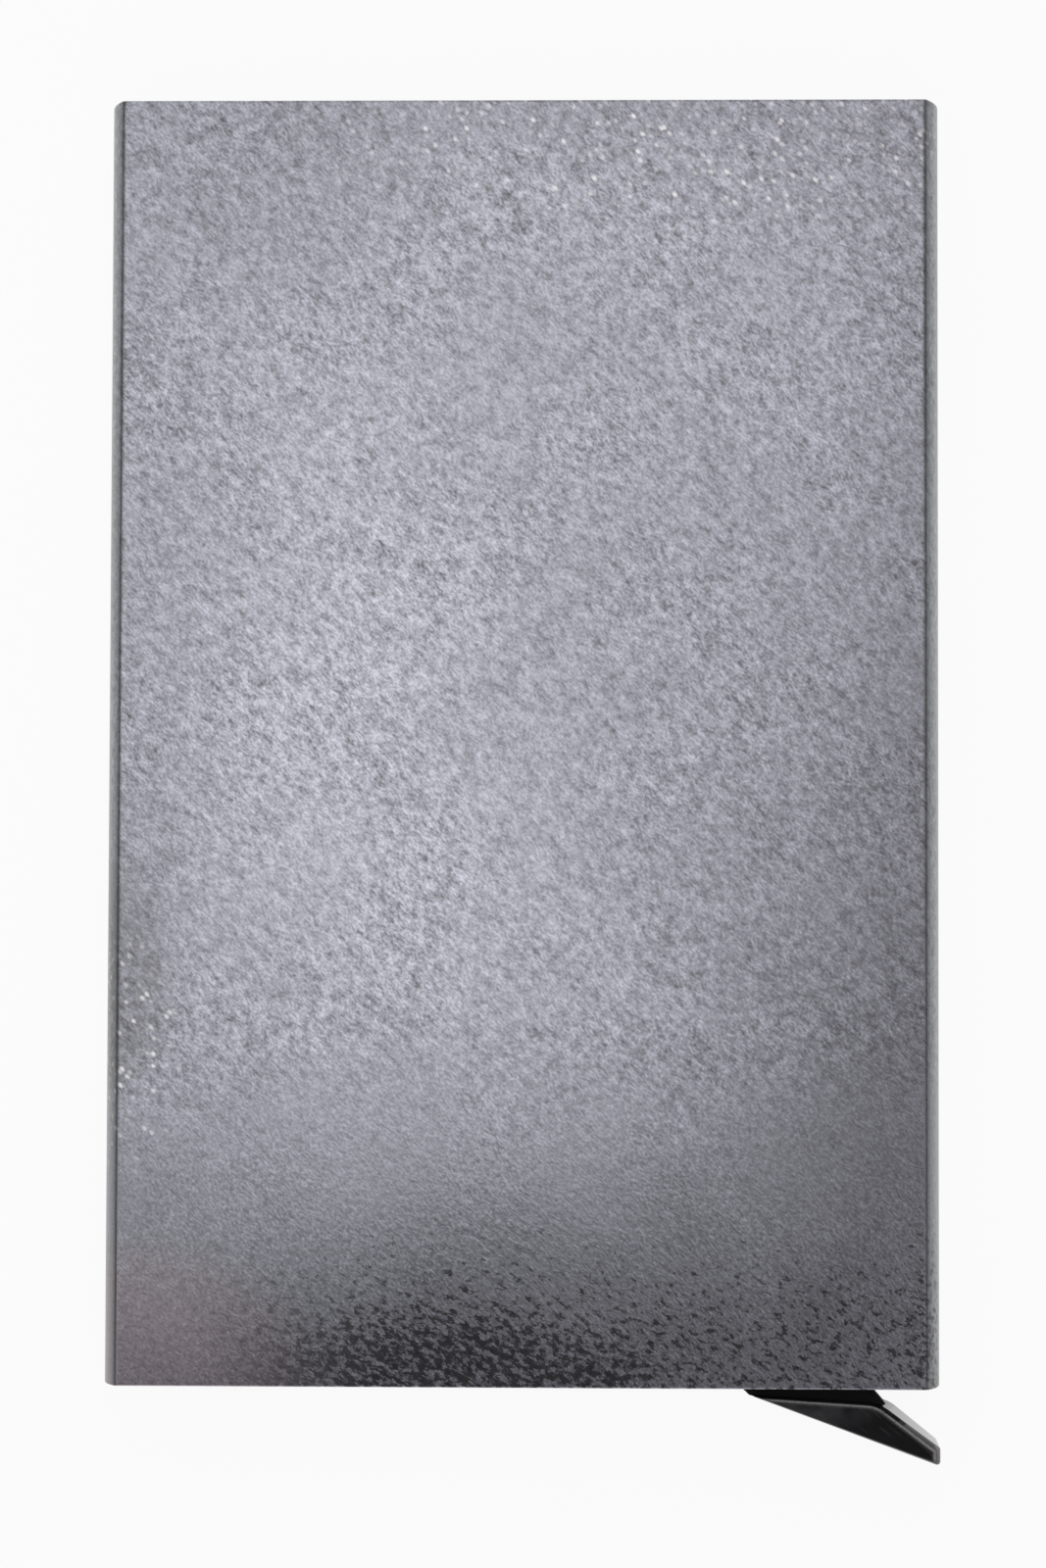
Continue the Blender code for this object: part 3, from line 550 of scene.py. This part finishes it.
def soften(corners, reach, beyond=0.3, steps=5):
    """Round a path: each inner corner becomes a curve that starts and ends reach away from it.

    The curve is (1 - t)^2 start + 2 t (1 - t) corner + t^2 end, with t from 0 to 1, and it is
    tangent to both neighbours. One more point lies on each side, further out by a share of
    reach, so that shading stays even on the long flats.
    """
    corners = np.asarray(corners, float)
    path = [corners[:1]]
    share = np.linspace(0, 1, steps + 1)[:, None]
    for before, corner, after in zip(corners[:-2], corners[1:-1], corners[2:]):
        back = (before - corner) / np.linalg.norm(before - corner)
        ahead = (after - corner) / np.linalg.norm(after - corner)
        start, end = corner + back * reach, corner + ahead * reach
        curve = (1 - share) ** 2 * start + 2 * share * (1 - share) * corner + share**2 * end
        path += [start + back * reach * beyond, curve, end + ahead * reach * beyond]
    path.append(corners[-1:])
    return np.vstack(path)


# %% [markdown]
# ## The sleeve
#
# On the real case the sleeve is one extrusion, sawn to length, deburred, blasted and anodised.
# Its section has two flat faces and two arched sides. The arch is part of a large circle, and a
# small arc rounds the edge where it meets a face. That section could be a curve with a
# thickness, but the two lips would then be sharp. Here the wall is a closed loop instead: out
# along the outside, over the rounded lip at the mouth, back along the inside and over the
# lower lip. For each point of that loop, the section is moved inwards by the right amount.

# %% Make the sleeve
WALL = 0.9 * MM
SIDE_RISE = 1.1 * MM
EDGE_RADIUS = 0.4 * MM
INNER_RADIUS = 0.3 * MM
LIP_RADIUS = 0.11 * MM
SUPPORT = 0.12 * MM
SIDE_POINTS = 49
CORNER_POINTS = 9
LIP_POINTS = 7

half_width = sleeve_high.x
half_depth = (sleeve_high.z - sleeve_low.z) / 2
middle_level = (sleeve_high.z + sleeve_low.z) / 2
side_radius = (half_depth**2 + SIDE_RISE**2) / (2 * SIDE_RISE)
side_centre = half_width - side_radius


def sleeve_section(inset, corner):
    """Return X and Z round the section, for columns of insets and corner radii.

    The side is an arc about side_centre. A corner is an arc inside it whose centre lies one
    corner radius in from both the side and the face, so run and rise give that centre.
    """
    rise = half_depth - inset - corner
    run = np.sqrt((side_radius - inset - corner) ** 2 - rise**2)
    lean = np.arctan2(rise, run)
    corner_turn = lean + (np.pi / 2 - lean) * np.linspace(0, 1, CORNER_POINTS)
    side_turn = lean * np.linspace(-1, 1, SIDE_POINTS)[1:-1]
    corner_x = side_centre + run + corner * np.cos(corner_turn)
    corner_z = rise + corner * np.sin(corner_turn)
    side_x = side_centre + (side_radius - inset) * np.cos(side_turn)
    side_z = (side_radius - inset) * np.sin(side_turn)
    flat_x, flat_z = corner_x[:, -1:] - SUPPORT, corner_z[:, -1:]
    x = np.hstack([flat_x, corner_x[:, ::-1], side_x, corner_x, flat_x])
    z = np.hstack([-flat_z, -corner_z[:, ::-1], side_z, corner_z, flat_z])
    return np.hstack([x, -x[:, ::-1]]), np.hstack([z, z[:, ::-1]])


def wall_loop(low, high):
    """Return insets and Y places round the wall: up the outside, over the lip, down the inside.

    A lip's edge is a quarter circle. At an angle t round it, the wall has moved inwards by
    radius (1 - cos t) and still falls short of the end by radius (1 - sin t).
    """
    lip = np.linspace(0, np.pi / 2, LIP_POINTS)
    over = LIP_RADIUS * (1 - np.cos(lip))
    short = LIP_RADIUS * (1 - np.sin(lip))
    inset = np.hstack([0, over, WALL / 2, (WALL - over)[::-1], WALL])
    short = np.hstack([LIP_RADIUS + SUPPORT, short, 0, short[::-1], LIP_RADIUS + SUPPORT])
    return np.hstack([inset, inset[::-1]]), np.hstack([high - short, low + short[::-1]])


inset, reach = wall_loop(sleeve_low.y, sleeve_high.y)
corner = np.where(inset < WALL / 2, EDGE_RADIUS - inset, INNER_RADIUS + WALL - inset)
section_x, section_z = sleeve_section(inset[:, None], corner[:, None])
section_y = np.broadcast_to(reach[:, None], section_x.shape)
grid = np.stack([section_x, section_y, section_z + middle_level], axis=-1)
sleeve = surface("sleeve_shell", grid, "case", anodised, closed=True)
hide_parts("case_sleeve")

# %% [markdown]
# ## The trigger
#
# The trigger is the end of the lever that the thumb pushes. It is a wedge: one long edge below,
# a short end face, and a slanted face for the thumb. Bevels run along all its edges, narrow ones
# below and towards the sleeve, wide ones at the tip and the thumb's face. Their width changes
# along each edge. The thumb's face also leans back a little, so the camera sees it as a narrow
# pale strip. All of that fits in one grid: every ring is the same four-cornered outline with its
# edges moved inwards, each by its own inset at its start and at its end.

# %% Outlines whose edges move inwards
def crossed(first, second):
    """Return the size of the cross product of flat vectors."""
    return first[..., 0] * second[..., 1] - first[..., 1] * second[..., 0]


def unit(vectors):
    """Scale vectors to a length of one."""
    return vectors / np.linalg.norm(vectors, axis=-1, keepdims=True)


def inset_corners(corners, insets):
    """Move each edge inwards by its insets, which are rings x edges x 2 (start and end).

    Neighbouring edges are then endless lines, and the new corners are where they cross.
    """
    edge = np.roll(corners, -1, axis=0) - corners
    inward = unit(np.stack([-edge[:, 1], edge[:, 0]], axis=-1))
    start = corners + insets[..., :1] * inward
    end = np.roll(corners, -1, axis=0) + insets[..., 1:] * inward
    before, along_before = np.roll(start, 1, axis=1), np.roll(end - start, 1, axis=1)
    reach = crossed(start - before, end - start) / crossed(along_before, end - start)
    return before + along_before * reach[..., None]


def rounded(corners, radii, support, share, steps=8):
    """Replace each corner with an arc tangent to both edges.

    With half the corner's angle h, the arc's centre lies on the bisector at radius / sin h, and
    the arc touches the edges at radius / tan h. On each side of it, one more point lies a
    support away on the edge, and another at a share of the edge's straight stretch. They keep
    the marks below from spreading along the whole edge.
    """
    back = unit(np.roll(corners, 1, axis=1) - corners)
    ahead = unit(np.roll(corners, -1, axis=1) - corners)
    half = np.arccos(np.clip((back * ahead).sum(-1), -1, 1)) / 2
    centre = corners + unit(back + ahead) * (radii / np.sin(half))[..., None]
    touch = radii / np.tan(half)
    spoke = corners + back * touch[..., None] - centre
    turn = (np.pi - 2 * half)[..., None] * np.linspace(0, 1, steps + 1)
    cos, sin = np.cos(turn), np.sin(turn)
    x = cos * spoke[..., :1] - sin * spoke[..., 1:]
    y = sin * spoke[..., :1] + cos * spoke[..., 1:]
    curve = centre[..., None, :] + np.stack([x, y], axis=-1)
    length = np.linalg.norm(np.roll(corners, -1, axis=1) - corners, axis=-1)
    straight = length - touch - np.roll(touch, -1, axis=1)
    before = np.stack([touch + share * np.roll(straight, 1, axis=1), touch + support], axis=-1)
    after = np.stack([touch + support, touch + share * straight], axis=-1)
    points = [corners[..., None, :] + back[..., None, :] * before[..., None], curve,
              corners[..., None, :] + ahead[..., None, :] * after[..., None]]
    return np.concatenate(points, axis=2).reshape(len(corners), -1, 2)


# %% [markdown]
# The corners are measured from the pivot: the heel, the tip below and above, and the thumb's
# side. Each row of bevels and leans belongs to the edge that starts at the corner of that row:
# below, tip, thumb's face, towards the sleeve. Four numbers say what a ring is: its share of the
# bevels, its share of the thumb face's lean, a step inwards that is the same all round, and its
# level. They go from the rear flank over the rim to the front flank, in millimetres, and the
# bends of that path are rounded. A bevel bends once on its way, at its crease.

# %% Make the trigger
pivot = Vector(next(j for j in frame["joints"] if j["name"] == "lever_pivot")["pos_m"])
HEEL = 6.75 * MM
THUMB = 3.74 * MM
SHOULDER = 0.62 * MM
SHOULDER_FALL = 0.64 * MM
REACH = 5.815 * MM
TIP_HEIGHT = 1.56 * MM
TIP_SETBACK = 0.05 * MM
FLANK_SETBACK = 1.1 * MM
BEVEL_DEPTH = 0.6 * MM
CREASE_SHARE, CREASE_LEVEL = 0.6, 0.4
FLANK_STEP = 0.3
BEND = 0.12 * MM
EDGE_SHARE = 0.08
edge_level = sleeve_low.y - pivot.y
tip_x, tip_y = sleeve_high.x - pivot.x - TIP_SETBACK, edge_level - REACH
corners = np.array([(-HEEL, edge_level - SHOULDER), (tip_x, tip_y), (tip_x, tip_y + TIP_HEIGHT),
                    (THUMB, edge_level - SHOULDER - SHOULDER_FALL)])
bevels = np.array([(0.10, 0.16), (0.45, 0.45), (0.42, 0.32), (0.15, 0.15)]) * MM
leans = np.array([(0, 0), (0, 0), (0.17, 0.42), (0, 0)]) * MM
rim_radii = np.array([0.04, 0.25, 0.25, 2.4]) * MM
flank_radii = np.array([0.04, 0.10, 0.10, 2.4]) * MM

rear, front = FLANK_SETBACK / MM, (sleeve_high.z - FLANK_SETBACK) / MM
depth = BEVEL_DEPTH / MM
path = soften([
    (1, 0, FLANK_STEP, rear), (1, 0, 0, rear), (CREASE_SHARE, 0, 0, rear + CREASE_LEVEL * depth),
    (0, 0, 0, rear + depth), (0, 1, 0, front - depth),
    (CREASE_SHARE, 1, 0, front - CREASE_LEVEL * depth), (1, 1, 0, front), (1, 1, FLANK_STEP, front),
], BEND / MM)
share, lean, step, level = path.T[:, :, None, None]
outline = inset_corners(corners, share * bevels + lean * leans + step * MM)
radii = rim_radii + (flank_radii - rim_radii) * share[..., 0]
outline = rounded(outline, radii, BEND / 4, EDGE_SHARE)
levels = np.broadcast_to(level * MM, outline.shape[:2] + (1,))
grid = np.concatenate([outline + np.array(pivot[:2]), levels], axis=-1)
trigger = surface("lever_trigger", grid, "lever", satin_nylon)

# %% [markdown]
# A grey highlight is painted where the trigger's edges catch the light: round each flank, but not
# along its lower edge, and at the tip. A thumb polishes the slanted face that it pushes. Both
# amounts are kept as attributes on the points, which the satin finish reads. Each corner of the
# outline has the same number of points, so a weight for each corner's first and last point says
# which edges count.

# %% Mark where highlights are painted on the trigger and where it is polished
HIGHLIGHT_FLANK = 0.18 * MM
HIGHLIGHT_SHARE = 0.25
HIGHLIGHT_TIP = 0.50 * MM


def edge_weights(ends):
    """Go evenly from the first to the last weight over the points of each corner."""
    return np.hstack([np.linspace(*pair, outline.shape[1] // 4) for pair in ends])


crease = (1 - (1 - share) / HIGHLIGHT_SHARE - step * MM / HIGHLIGHT_FLANK)[..., 0]
crease = crease * edge_weights([(1, 0), (0, 1), (1, 1), (1, 1)])
at_tip = 1 - (tip_x - outline[..., 0]) / HIGHLIGHT_TIP
amounts = {
    # Where the grey highlight is painted on the trigger.
    "painted_highlight": np.maximum(crease, at_tip),
    "polished": (1 - share[..., 0]) * edge_weights([(0, 0), (0, 0), (0, 1), (1, 0)]),
}
for name, amount in amounts.items():
    amount = np.clip(amount, 0, 1)
    trigger.data.attributes.new(name, "FLOAT", "POINT").data.foreach_set("value", amount.ravel())
    print(name, "share of the trigger's points:", round(float((amount > 0.1).mean()), 2))

# %% [markdown]
# The arm behind it is part of the same moulding. Its construction already has the right form,
# with six card-thick layers and windows between their ribs, so it is copied. The copy's loose
# triangles are merged, the trigger is cut off just inside the new one, and a Bevel modifier
# takes the sharpness off its edges, as a mould does.

# %% Copy the arm and soften its edges
ARM_CUT = 0.08 * MM
ARM_BEVEL = 0.06 * MM
ARM_EDGES_ABOVE = math.radians(40)
FLAT_WITHIN = math.radians(1)
MERGED_WITHIN = 0.002 * MM
arm_mesh = frame["nodes"]["lever"].data.copy()
arm_mesh.name = "lever_arm"
arm_mesh.materials.clear()
shape = bmesh.new()
shape.from_mesh(arm_mesh)
bmesh.ops.remove_doubles(shape, verts=shape.verts, dist=MERGED_WITHIN)
shoulder_start = pivot + Vector((-HEEL, edge_level - SHOULDER - ARM_CUT, 0))
shoulder_normal = Vector((-SHOULDER_FALL, -HEEL - THUMB, 0)).normalized()
bmesh.ops.bisect_plane(shape, geom=shape.verts[:] + shape.edges[:] + shape.faces[:],
                       plane_co=shoulder_start, plane_no=shoulder_normal, clear_outer=True)
bmesh.ops.holes_fill(shape, edges=[edge for edge in shape.edges if edge.is_boundary])
bmesh.ops.dissolve_limit(shape, angle_limit=FLAT_WITHIN, verts=shape.verts, edges=shape.edges)
bmesh.ops.recalc_face_normals(shape, faces=shape.faces)
print("open edges left on the arm:", sum(edge.is_boundary for edge in shape.edges))
shape.to_mesh(arm_mesh)
shape.free()
arm = new_piece("lever_arm", arm_mesh, "lever", shaded_arm_nylon)
soft_edges = arm.modifiers.new("moulded_edges", "BEVEL")
soft_edges.width = ARM_BEVEL
soft_edges.segments = 2
soft_edges.angle_limit = ARM_EDGES_ABOVE
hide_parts("lever")
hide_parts("lever")

# %% [markdown]
# ## The leaf springs
#
# Each spring is a strip of thin steel that bows away from the back wall and presses the cards
# forward. A section with rounded edges is carried along the bow. Near the ends the strip
# narrows along a quarter circle, and near its foot a tab reaches under the guide rail.

# %% Make the leaf springs
STRIP_CORNER = 0.8 * MM
SPRING_FOOT = 5.0 * MM
TAB_REACH = 1.6 * MM
TAB_HALF_WIDTH = 1.5 * MM
TAB_TAPER = 0.3 * MM
THICKNESS = 0.2 * MM
END_POINTS = 9
TAB_POINTS = 5
BOW_POINTS = 90
EDGE_POINTS = 7


def spring_grid(low, high, side):
    """Carry the strip's stadium-shaped section along its bow.

    Along Y the strip is flat for one foot at each end, and between the feet it lifts by
    rise (1 - cos t) / 2, with t from 0 to a full turn. A corner draws the edges in by
    radius - sqrt(radius^2 - s^2), where s is how far the place lies into the corner. The outer
    edge steps out evenly where the tab is.
    """
    length = high.y - low.y
    ends = STRIP_CORNER * (1 - np.cos(np.linspace(0, np.pi / 2, END_POINTS)))
    tab = SPRING_FOOT / 2 + (TAB_HALF_WIDTH - TAB_TAPER / 2) * np.array([[-1], [1]])
    tab = (tab + TAB_TAPER / 2 * np.linspace(-1, 1, TAB_POINTS)).ravel()
    bow = np.linspace(SPRING_FOOT, length - SPRING_FOOT, BOW_POINTS)
    along = np.unique(np.hstack([ends, tab, bow, length - ends]))
    corner = np.clip(STRIP_CORNER - np.minimum(along, length - along), 0, STRIP_CORNER)
    drawn_in = STRIP_CORNER - np.sqrt(STRIP_CORNER**2 - corner**2)
    turn = np.clip((along - SPRING_FOOT) / (length - 2 * SPRING_FOOT), 0, 1) * 2 * np.pi
    radius = THICKNESS / 2
    lift = (high.z - low.z - THICKNESS) * (1 - np.cos(turn)) / 2
    tab_share = np.clip((TAB_HALF_WIDTH - np.abs(along - SPRING_FOOT / 2)) / TAB_TAPER, 0, 1)
    outer = max(abs(low.x), abs(high.x)) - TAB_REACH * (1 - tab_share) - drawn_in
    inner = min(abs(low.x), abs(high.x)) + drawn_in
    edge = np.linspace(-np.pi / 2, np.pi / 2, EDGE_POINTS)
    x_out = outer[:, None] - radius + radius * np.cos(edge)
    x_in = inner[:, None] + radius - radius * np.cos(edge)
    z_out = np.broadcast_to(radius * np.sin(edge), x_out.shape)
    x = side * np.hstack([x_out, x_in[:, ::-1]])
    z = low.z + radius + lift[:, None] + np.hstack([z_out, z_out[:, ::-1]])
    return np.stack([x, np.broadcast_to(low.y + along[:, None], x.shape), z], axis=-1)


for side, word in ((-1, "left"), (1, "right")):
    low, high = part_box(f"card_spring_{word}")
    spring = surface(f"spring_strip_{word}", spring_grid(low, high, side), "case", steel)
    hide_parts(f"card_spring_{word}")

# %% [markdown]
# ## The felt strips
#
# Two strips of pressed felt line the front wall, and the cards rub on them. Felt has no sharp
# edge and no even surface: its fibres stand up a little in random places. The surface is a
# stack of shrinking outlines, so the side rolls over into the top. A sum of many waves in
# random directions then moves every point a little.

# %% Make the felt strips
FELT_CORNER = 1.0 * MM
FELT_ROLL = 0.16 * MM
FUZZ_HEIGHT = 0.035 * MM
FUZZ_LENGTHS = (0.25 * MM, 1.4 * MM)
FUZZ_WAVES = 60
OUTLINE_POINTS = 260
QUARTER_POINTS = 9
ROLL_POINTS = 6
FACE_RINGS = 16
SLIT = 0.02 * MM


def fuzz(x, y, seed):
    """Add up sin(2 pi distance / length + phase) over waves of random direction, length and phase.

    The sum is divided by the root of the number of waves, which brings it to about one.
    """
    draw = np.random.default_rng(seed)
    turn, phase = draw.uniform(0, 2 * np.pi, (2, FUZZ_WAVES))
    length = draw.uniform(*FUZZ_LENGTHS, FUZZ_WAVES)
    across = x[..., None] * np.cos(turn) + y[..., None] * np.sin(turn)
    return np.sin(across * 2 * np.pi / length + phase).sum(-1) / math.sqrt(FUZZ_WAVES)


def felt_outline(half_x, half_y, inset):
    """Return a rounded rectangle, moved inwards, with its points spread evenly by length."""
    radius = np.maximum(FELT_CORNER - inset, 0)
    straight_x, straight_y = half_x - inset - radius, half_y - inset - radius
    turn = np.linspace(0, np.pi / 2, QUARTER_POINTS)
    quarter_x, quarter_y = straight_x + radius * np.cos(turn), straight_y + radius * np.sin(turn)
    x = np.hstack([quarter_x, -quarter_x[::-1], -quarter_x, quarter_x[::-1], quarter_x[:1]])
    y = np.hstack([quarter_y, quarter_y[::-1], -quarter_y, -quarter_y[::-1], quarter_y[:1]])
    length = np.hstack([0, np.cumsum(np.hypot(np.diff(x), np.diff(y)))])
    even = np.linspace(0, length[-1], OUTLINE_POINTS, endpoint=False)
    return np.stack([np.interp(even, length, x), np.interp(even, length, y)], axis=-1)


def felt_grid(low, high, seed):
    """Stack outlines from the glued back over the rolled side to the middle of the free face.

    The rolled side is a quarter circle: at an angle t round it, the outline has moved inwards
    by roll (1 - cos t) and lies roll (1 - sin t) short of the free face.
    """
    half_x, half_y, depth = (high.x - low.x) / 2, (high.y - low.y) / 2, high.z - low.z
    roll = np.linspace(0, np.pi / 2, ROLL_POINTS)
    rim = FELT_ROLL * (1 - np.cos(roll))
    steps = np.linspace(FELT_ROLL, half_x - SLIT, FACE_RINGS)[1:]
    inset = np.hstack([0, rim, steps])
    sunk = np.hstack([depth, FELT_ROLL * (1 - np.sin(roll)), np.zeros_like(steps)])
    flat = np.stack([felt_outline(half_x, half_y, value) for value in inset])
    wave = fuzz(flat[..., 0], flat[..., 1], seed) * FUZZ_HEIGHT
    raised = np.broadcast_to(sunk[:, None], wave.shape) + np.clip(FUZZ_HEIGHT + wave, 0, None)
    raised = np.minimum(raised, depth)
    centre = [(low.x + high.x) / 2, (low.y + high.y) / 2]
    return np.concatenate([flat + centre, (low.z + raised)[..., None]], axis=-1)


for seed, word in enumerate(("left", "right")):
    low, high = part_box(f"felt_strip_{word}")
    strip = surface(f"felt_pad_{word}", felt_grid(low, high, seed), "case", felt)
    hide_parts(f"felt_strip_{word}")

# %% [markdown]
# ## Finishes on the construction's own pieces
#
# The base, its cover, the two guide rails and the pin keep their own shape, which is already
# the real one. They only need their finish.

# %% Give the inner pieces their finish
inner_finishes = {
    "base_frame": matt_nylon,
    "pivot_cover": matt_nylon,
    "guide_rail_left": matt_nylon,
    "guide_rail_right": matt_nylon,
    "pivot_pin": steel,
}
for node, finish in inner_finishes.items():
    frame["nodes"][node].material_slots[0].material = finish
print("dressed:", sorted(inner_finishes))

# %% [markdown]
# ## The table and the light
#
# The case lies on a plain white table. What the camera and the metal see of the table is mostly
# its own pale colour, mixed with enough real shading to keep the soft shadow under the case.

# %% Make the table
TABLE_HALF = 3.0
TABLE_GAP = 0.02 * MM
TABLE_GREY = grey(0.86)
TABLE_SEEN = 0.93
TABLE_MIRRORED = 0.50


def ray_kinds(signal):
    """Return signals that are 1 for rays from the camera, from a mirror and through glass."""
    return [signal.add("ShaderNodeLightPath", output=f"Is {kind} Ray")
            for kind in ("Camera", "Glossy", "Transmission")]


white, shader, place = new_finish("white_table", Roughness=0.9)
shader.inputs["Base Color"].default_value = TABLE_GREY
direct, mirrored, through = ray_kinds(place)
seen = direct * TABLE_SEEN + mirrored.at_least(through) * TABLE_MIRRORED
glow = place.add("ShaderNodeEmission", inputs={"Color": (1, 1, 1, 1), "Strength": 1.0})
mixed = place.add("ShaderNodeMixShader", inputs={0: seen, 1: Signal(glow.tree, shader.outputs[0]), 2: glow})
output = white.node_tree.nodes["Material Output"]
white.node_tree.links.new(mixed.socket, output.inputs["Surface"])

table_mesh = bpy.data.meshes.new("table")
table_corners = np.array([(-1, -1, 0), (1, -1, 0), (1, 1, 0), (-1, 1, 0)]) * TABLE_HALF
table_mesh.from_pydata(table_corners + np.array([0, 0, -TABLE_GAP]), [], [(0, 1, 2, 3)])
table_mesh.materials.append(white)
table = bpy.data.objects.new("table", table_mesh)
bpy.context.scene.collection.objects.link(table)
print("the table is", 2 * TABLE_HALF, "m wide")

# %% [markdown]
# The sleeve is a dull mirror, so the light on it is what stands above it. In the photograph the
# upper middle mirrors something bright, and the lower end mirrors something dark that hangs over
# the case where the camera is. So the room is grey overhead with one dark, soft-edged round in
# it, its walls are paler at the two ends of the case, and two soft panels hang over the case. The
# backdrop is pale: the camera sees it all round, and the metal sees it low down, at the horizon.

# %% Make the room
ROOM_OVERHEAD = grey(0.50, warm=0.07, cool=0.03)
ROOM_SIDES = grey(0.38)
ROOM_ENDS = grey(0.72)
ROOM_PALE = grey(0.95)
ONLOOKER = grey(0.005)
ONLOOKER_TOWARDS = (-0.049, -0.113)
ONLOOKER_SIZE = 0.222
OVERHEAD_FROM, OVERHEAD_FULL = 0.78, 0.95
HORIZON_FROM, HORIZON_FULL = 0.30, 0.04
WALLS_SHIFT = 0.1
WALLS_FROM = 0.1

world = bpy.data.worlds.new("room")
bpy.context.scene.world = world
world.use_nodes = True
air = Signal(world.node_tree)
direction = air.add("ShaderNodeTexCoord", output="Generated")
towards = {axis: air.add("ShaderNodeSeparateXYZ", inputs={"Vector": direction}, output=axis)
           for axis in "XYZ"}
walls = abs(towards["Y"] + WALLS_SHIFT).rise(WALLS_FROM, 1.0).tint(ROOM_SIDES, ROOM_ENDS)
overhead = towards["Z"].rise(OVERHEAD_FROM, OVERHEAD_FULL)
room = overhead.tint(walls, ROOM_OVERHEAD)
aside = towards["X"] - ONLOOKER_TOWARDS[0]
below = towards["Y"] - ONLOOKER_TOWARDS[1]
away = air.math("SQRT", aside * aside + below * below)
onlooker = away.rise(ONLOOKER_SIZE, ONLOOKER_SIZE / 2) * overhead
room = onlooker.tint(room, ONLOOKER)
direct, mirrored, through = ray_kinds(air)
seen = direct.at_least(mirrored.at_least(through) * towards["Z"].rise(HORIZON_FROM, HORIZON_FULL))
sky = seen.tint(room, ROOM_PALE)
world.node_tree.links.new(sky.socket, world.node_tree.nodes["Background"].inputs["Color"])
print("nodes in the room's shader:", len(world.node_tree.nodes))

# %% [markdown]
# A panel adds its light to what is behind it, also to another panel. The places, sizes and
# brightnesses below come from a fit: the blurred mirror image of two panels on the flat face was
# worked out for many of them, and these came closest to how the photograph's face is shaded.
# They hang a millimetre apart in height, because panels at the same height hide each other. Their
# places and sizes are in millimetres.

# %% Hang the panels
def panel(name, place, size, turn, brightness):
    """Hang a rectangular panel that shines downwards, turned about Z.

    A panel's brightness is its power divided by pi and by its area, and 1 is that of a white
    wall, at which colours look as written.
    """
    data = bpy.data.lights.new(name, "AREA")
    data.shape = "RECTANGLE"
    data.size, data.size_y = Vector(size) * MM
    data.energy = math.pi * brightness * data.size * data.size_y
    lamp = bpy.data.objects.new(name, data)
    lamp.location = Vector(place) * MM
    lamp.rotation_euler.z = turn
    lamp.visible_camera = False
    bpy.context.scene.collection.objects.link(lamp)
    print(name, "shines with", round(data.energy, 4), "watts")


panel("left_panel", (-60.7, 16.1, 120), (97, 145), 0.429, 0.383)
panel("middle_panel", (0.2, 18.9, 119), (65, 115), -0.171, 0.488)

# %% [markdown]
# ## Finish
#
# The view transform stays plain, so that a colour in the picture is the colour that was written.

# %% Finish
bpy.context.scene.view_settings.view_transform = "Standard"
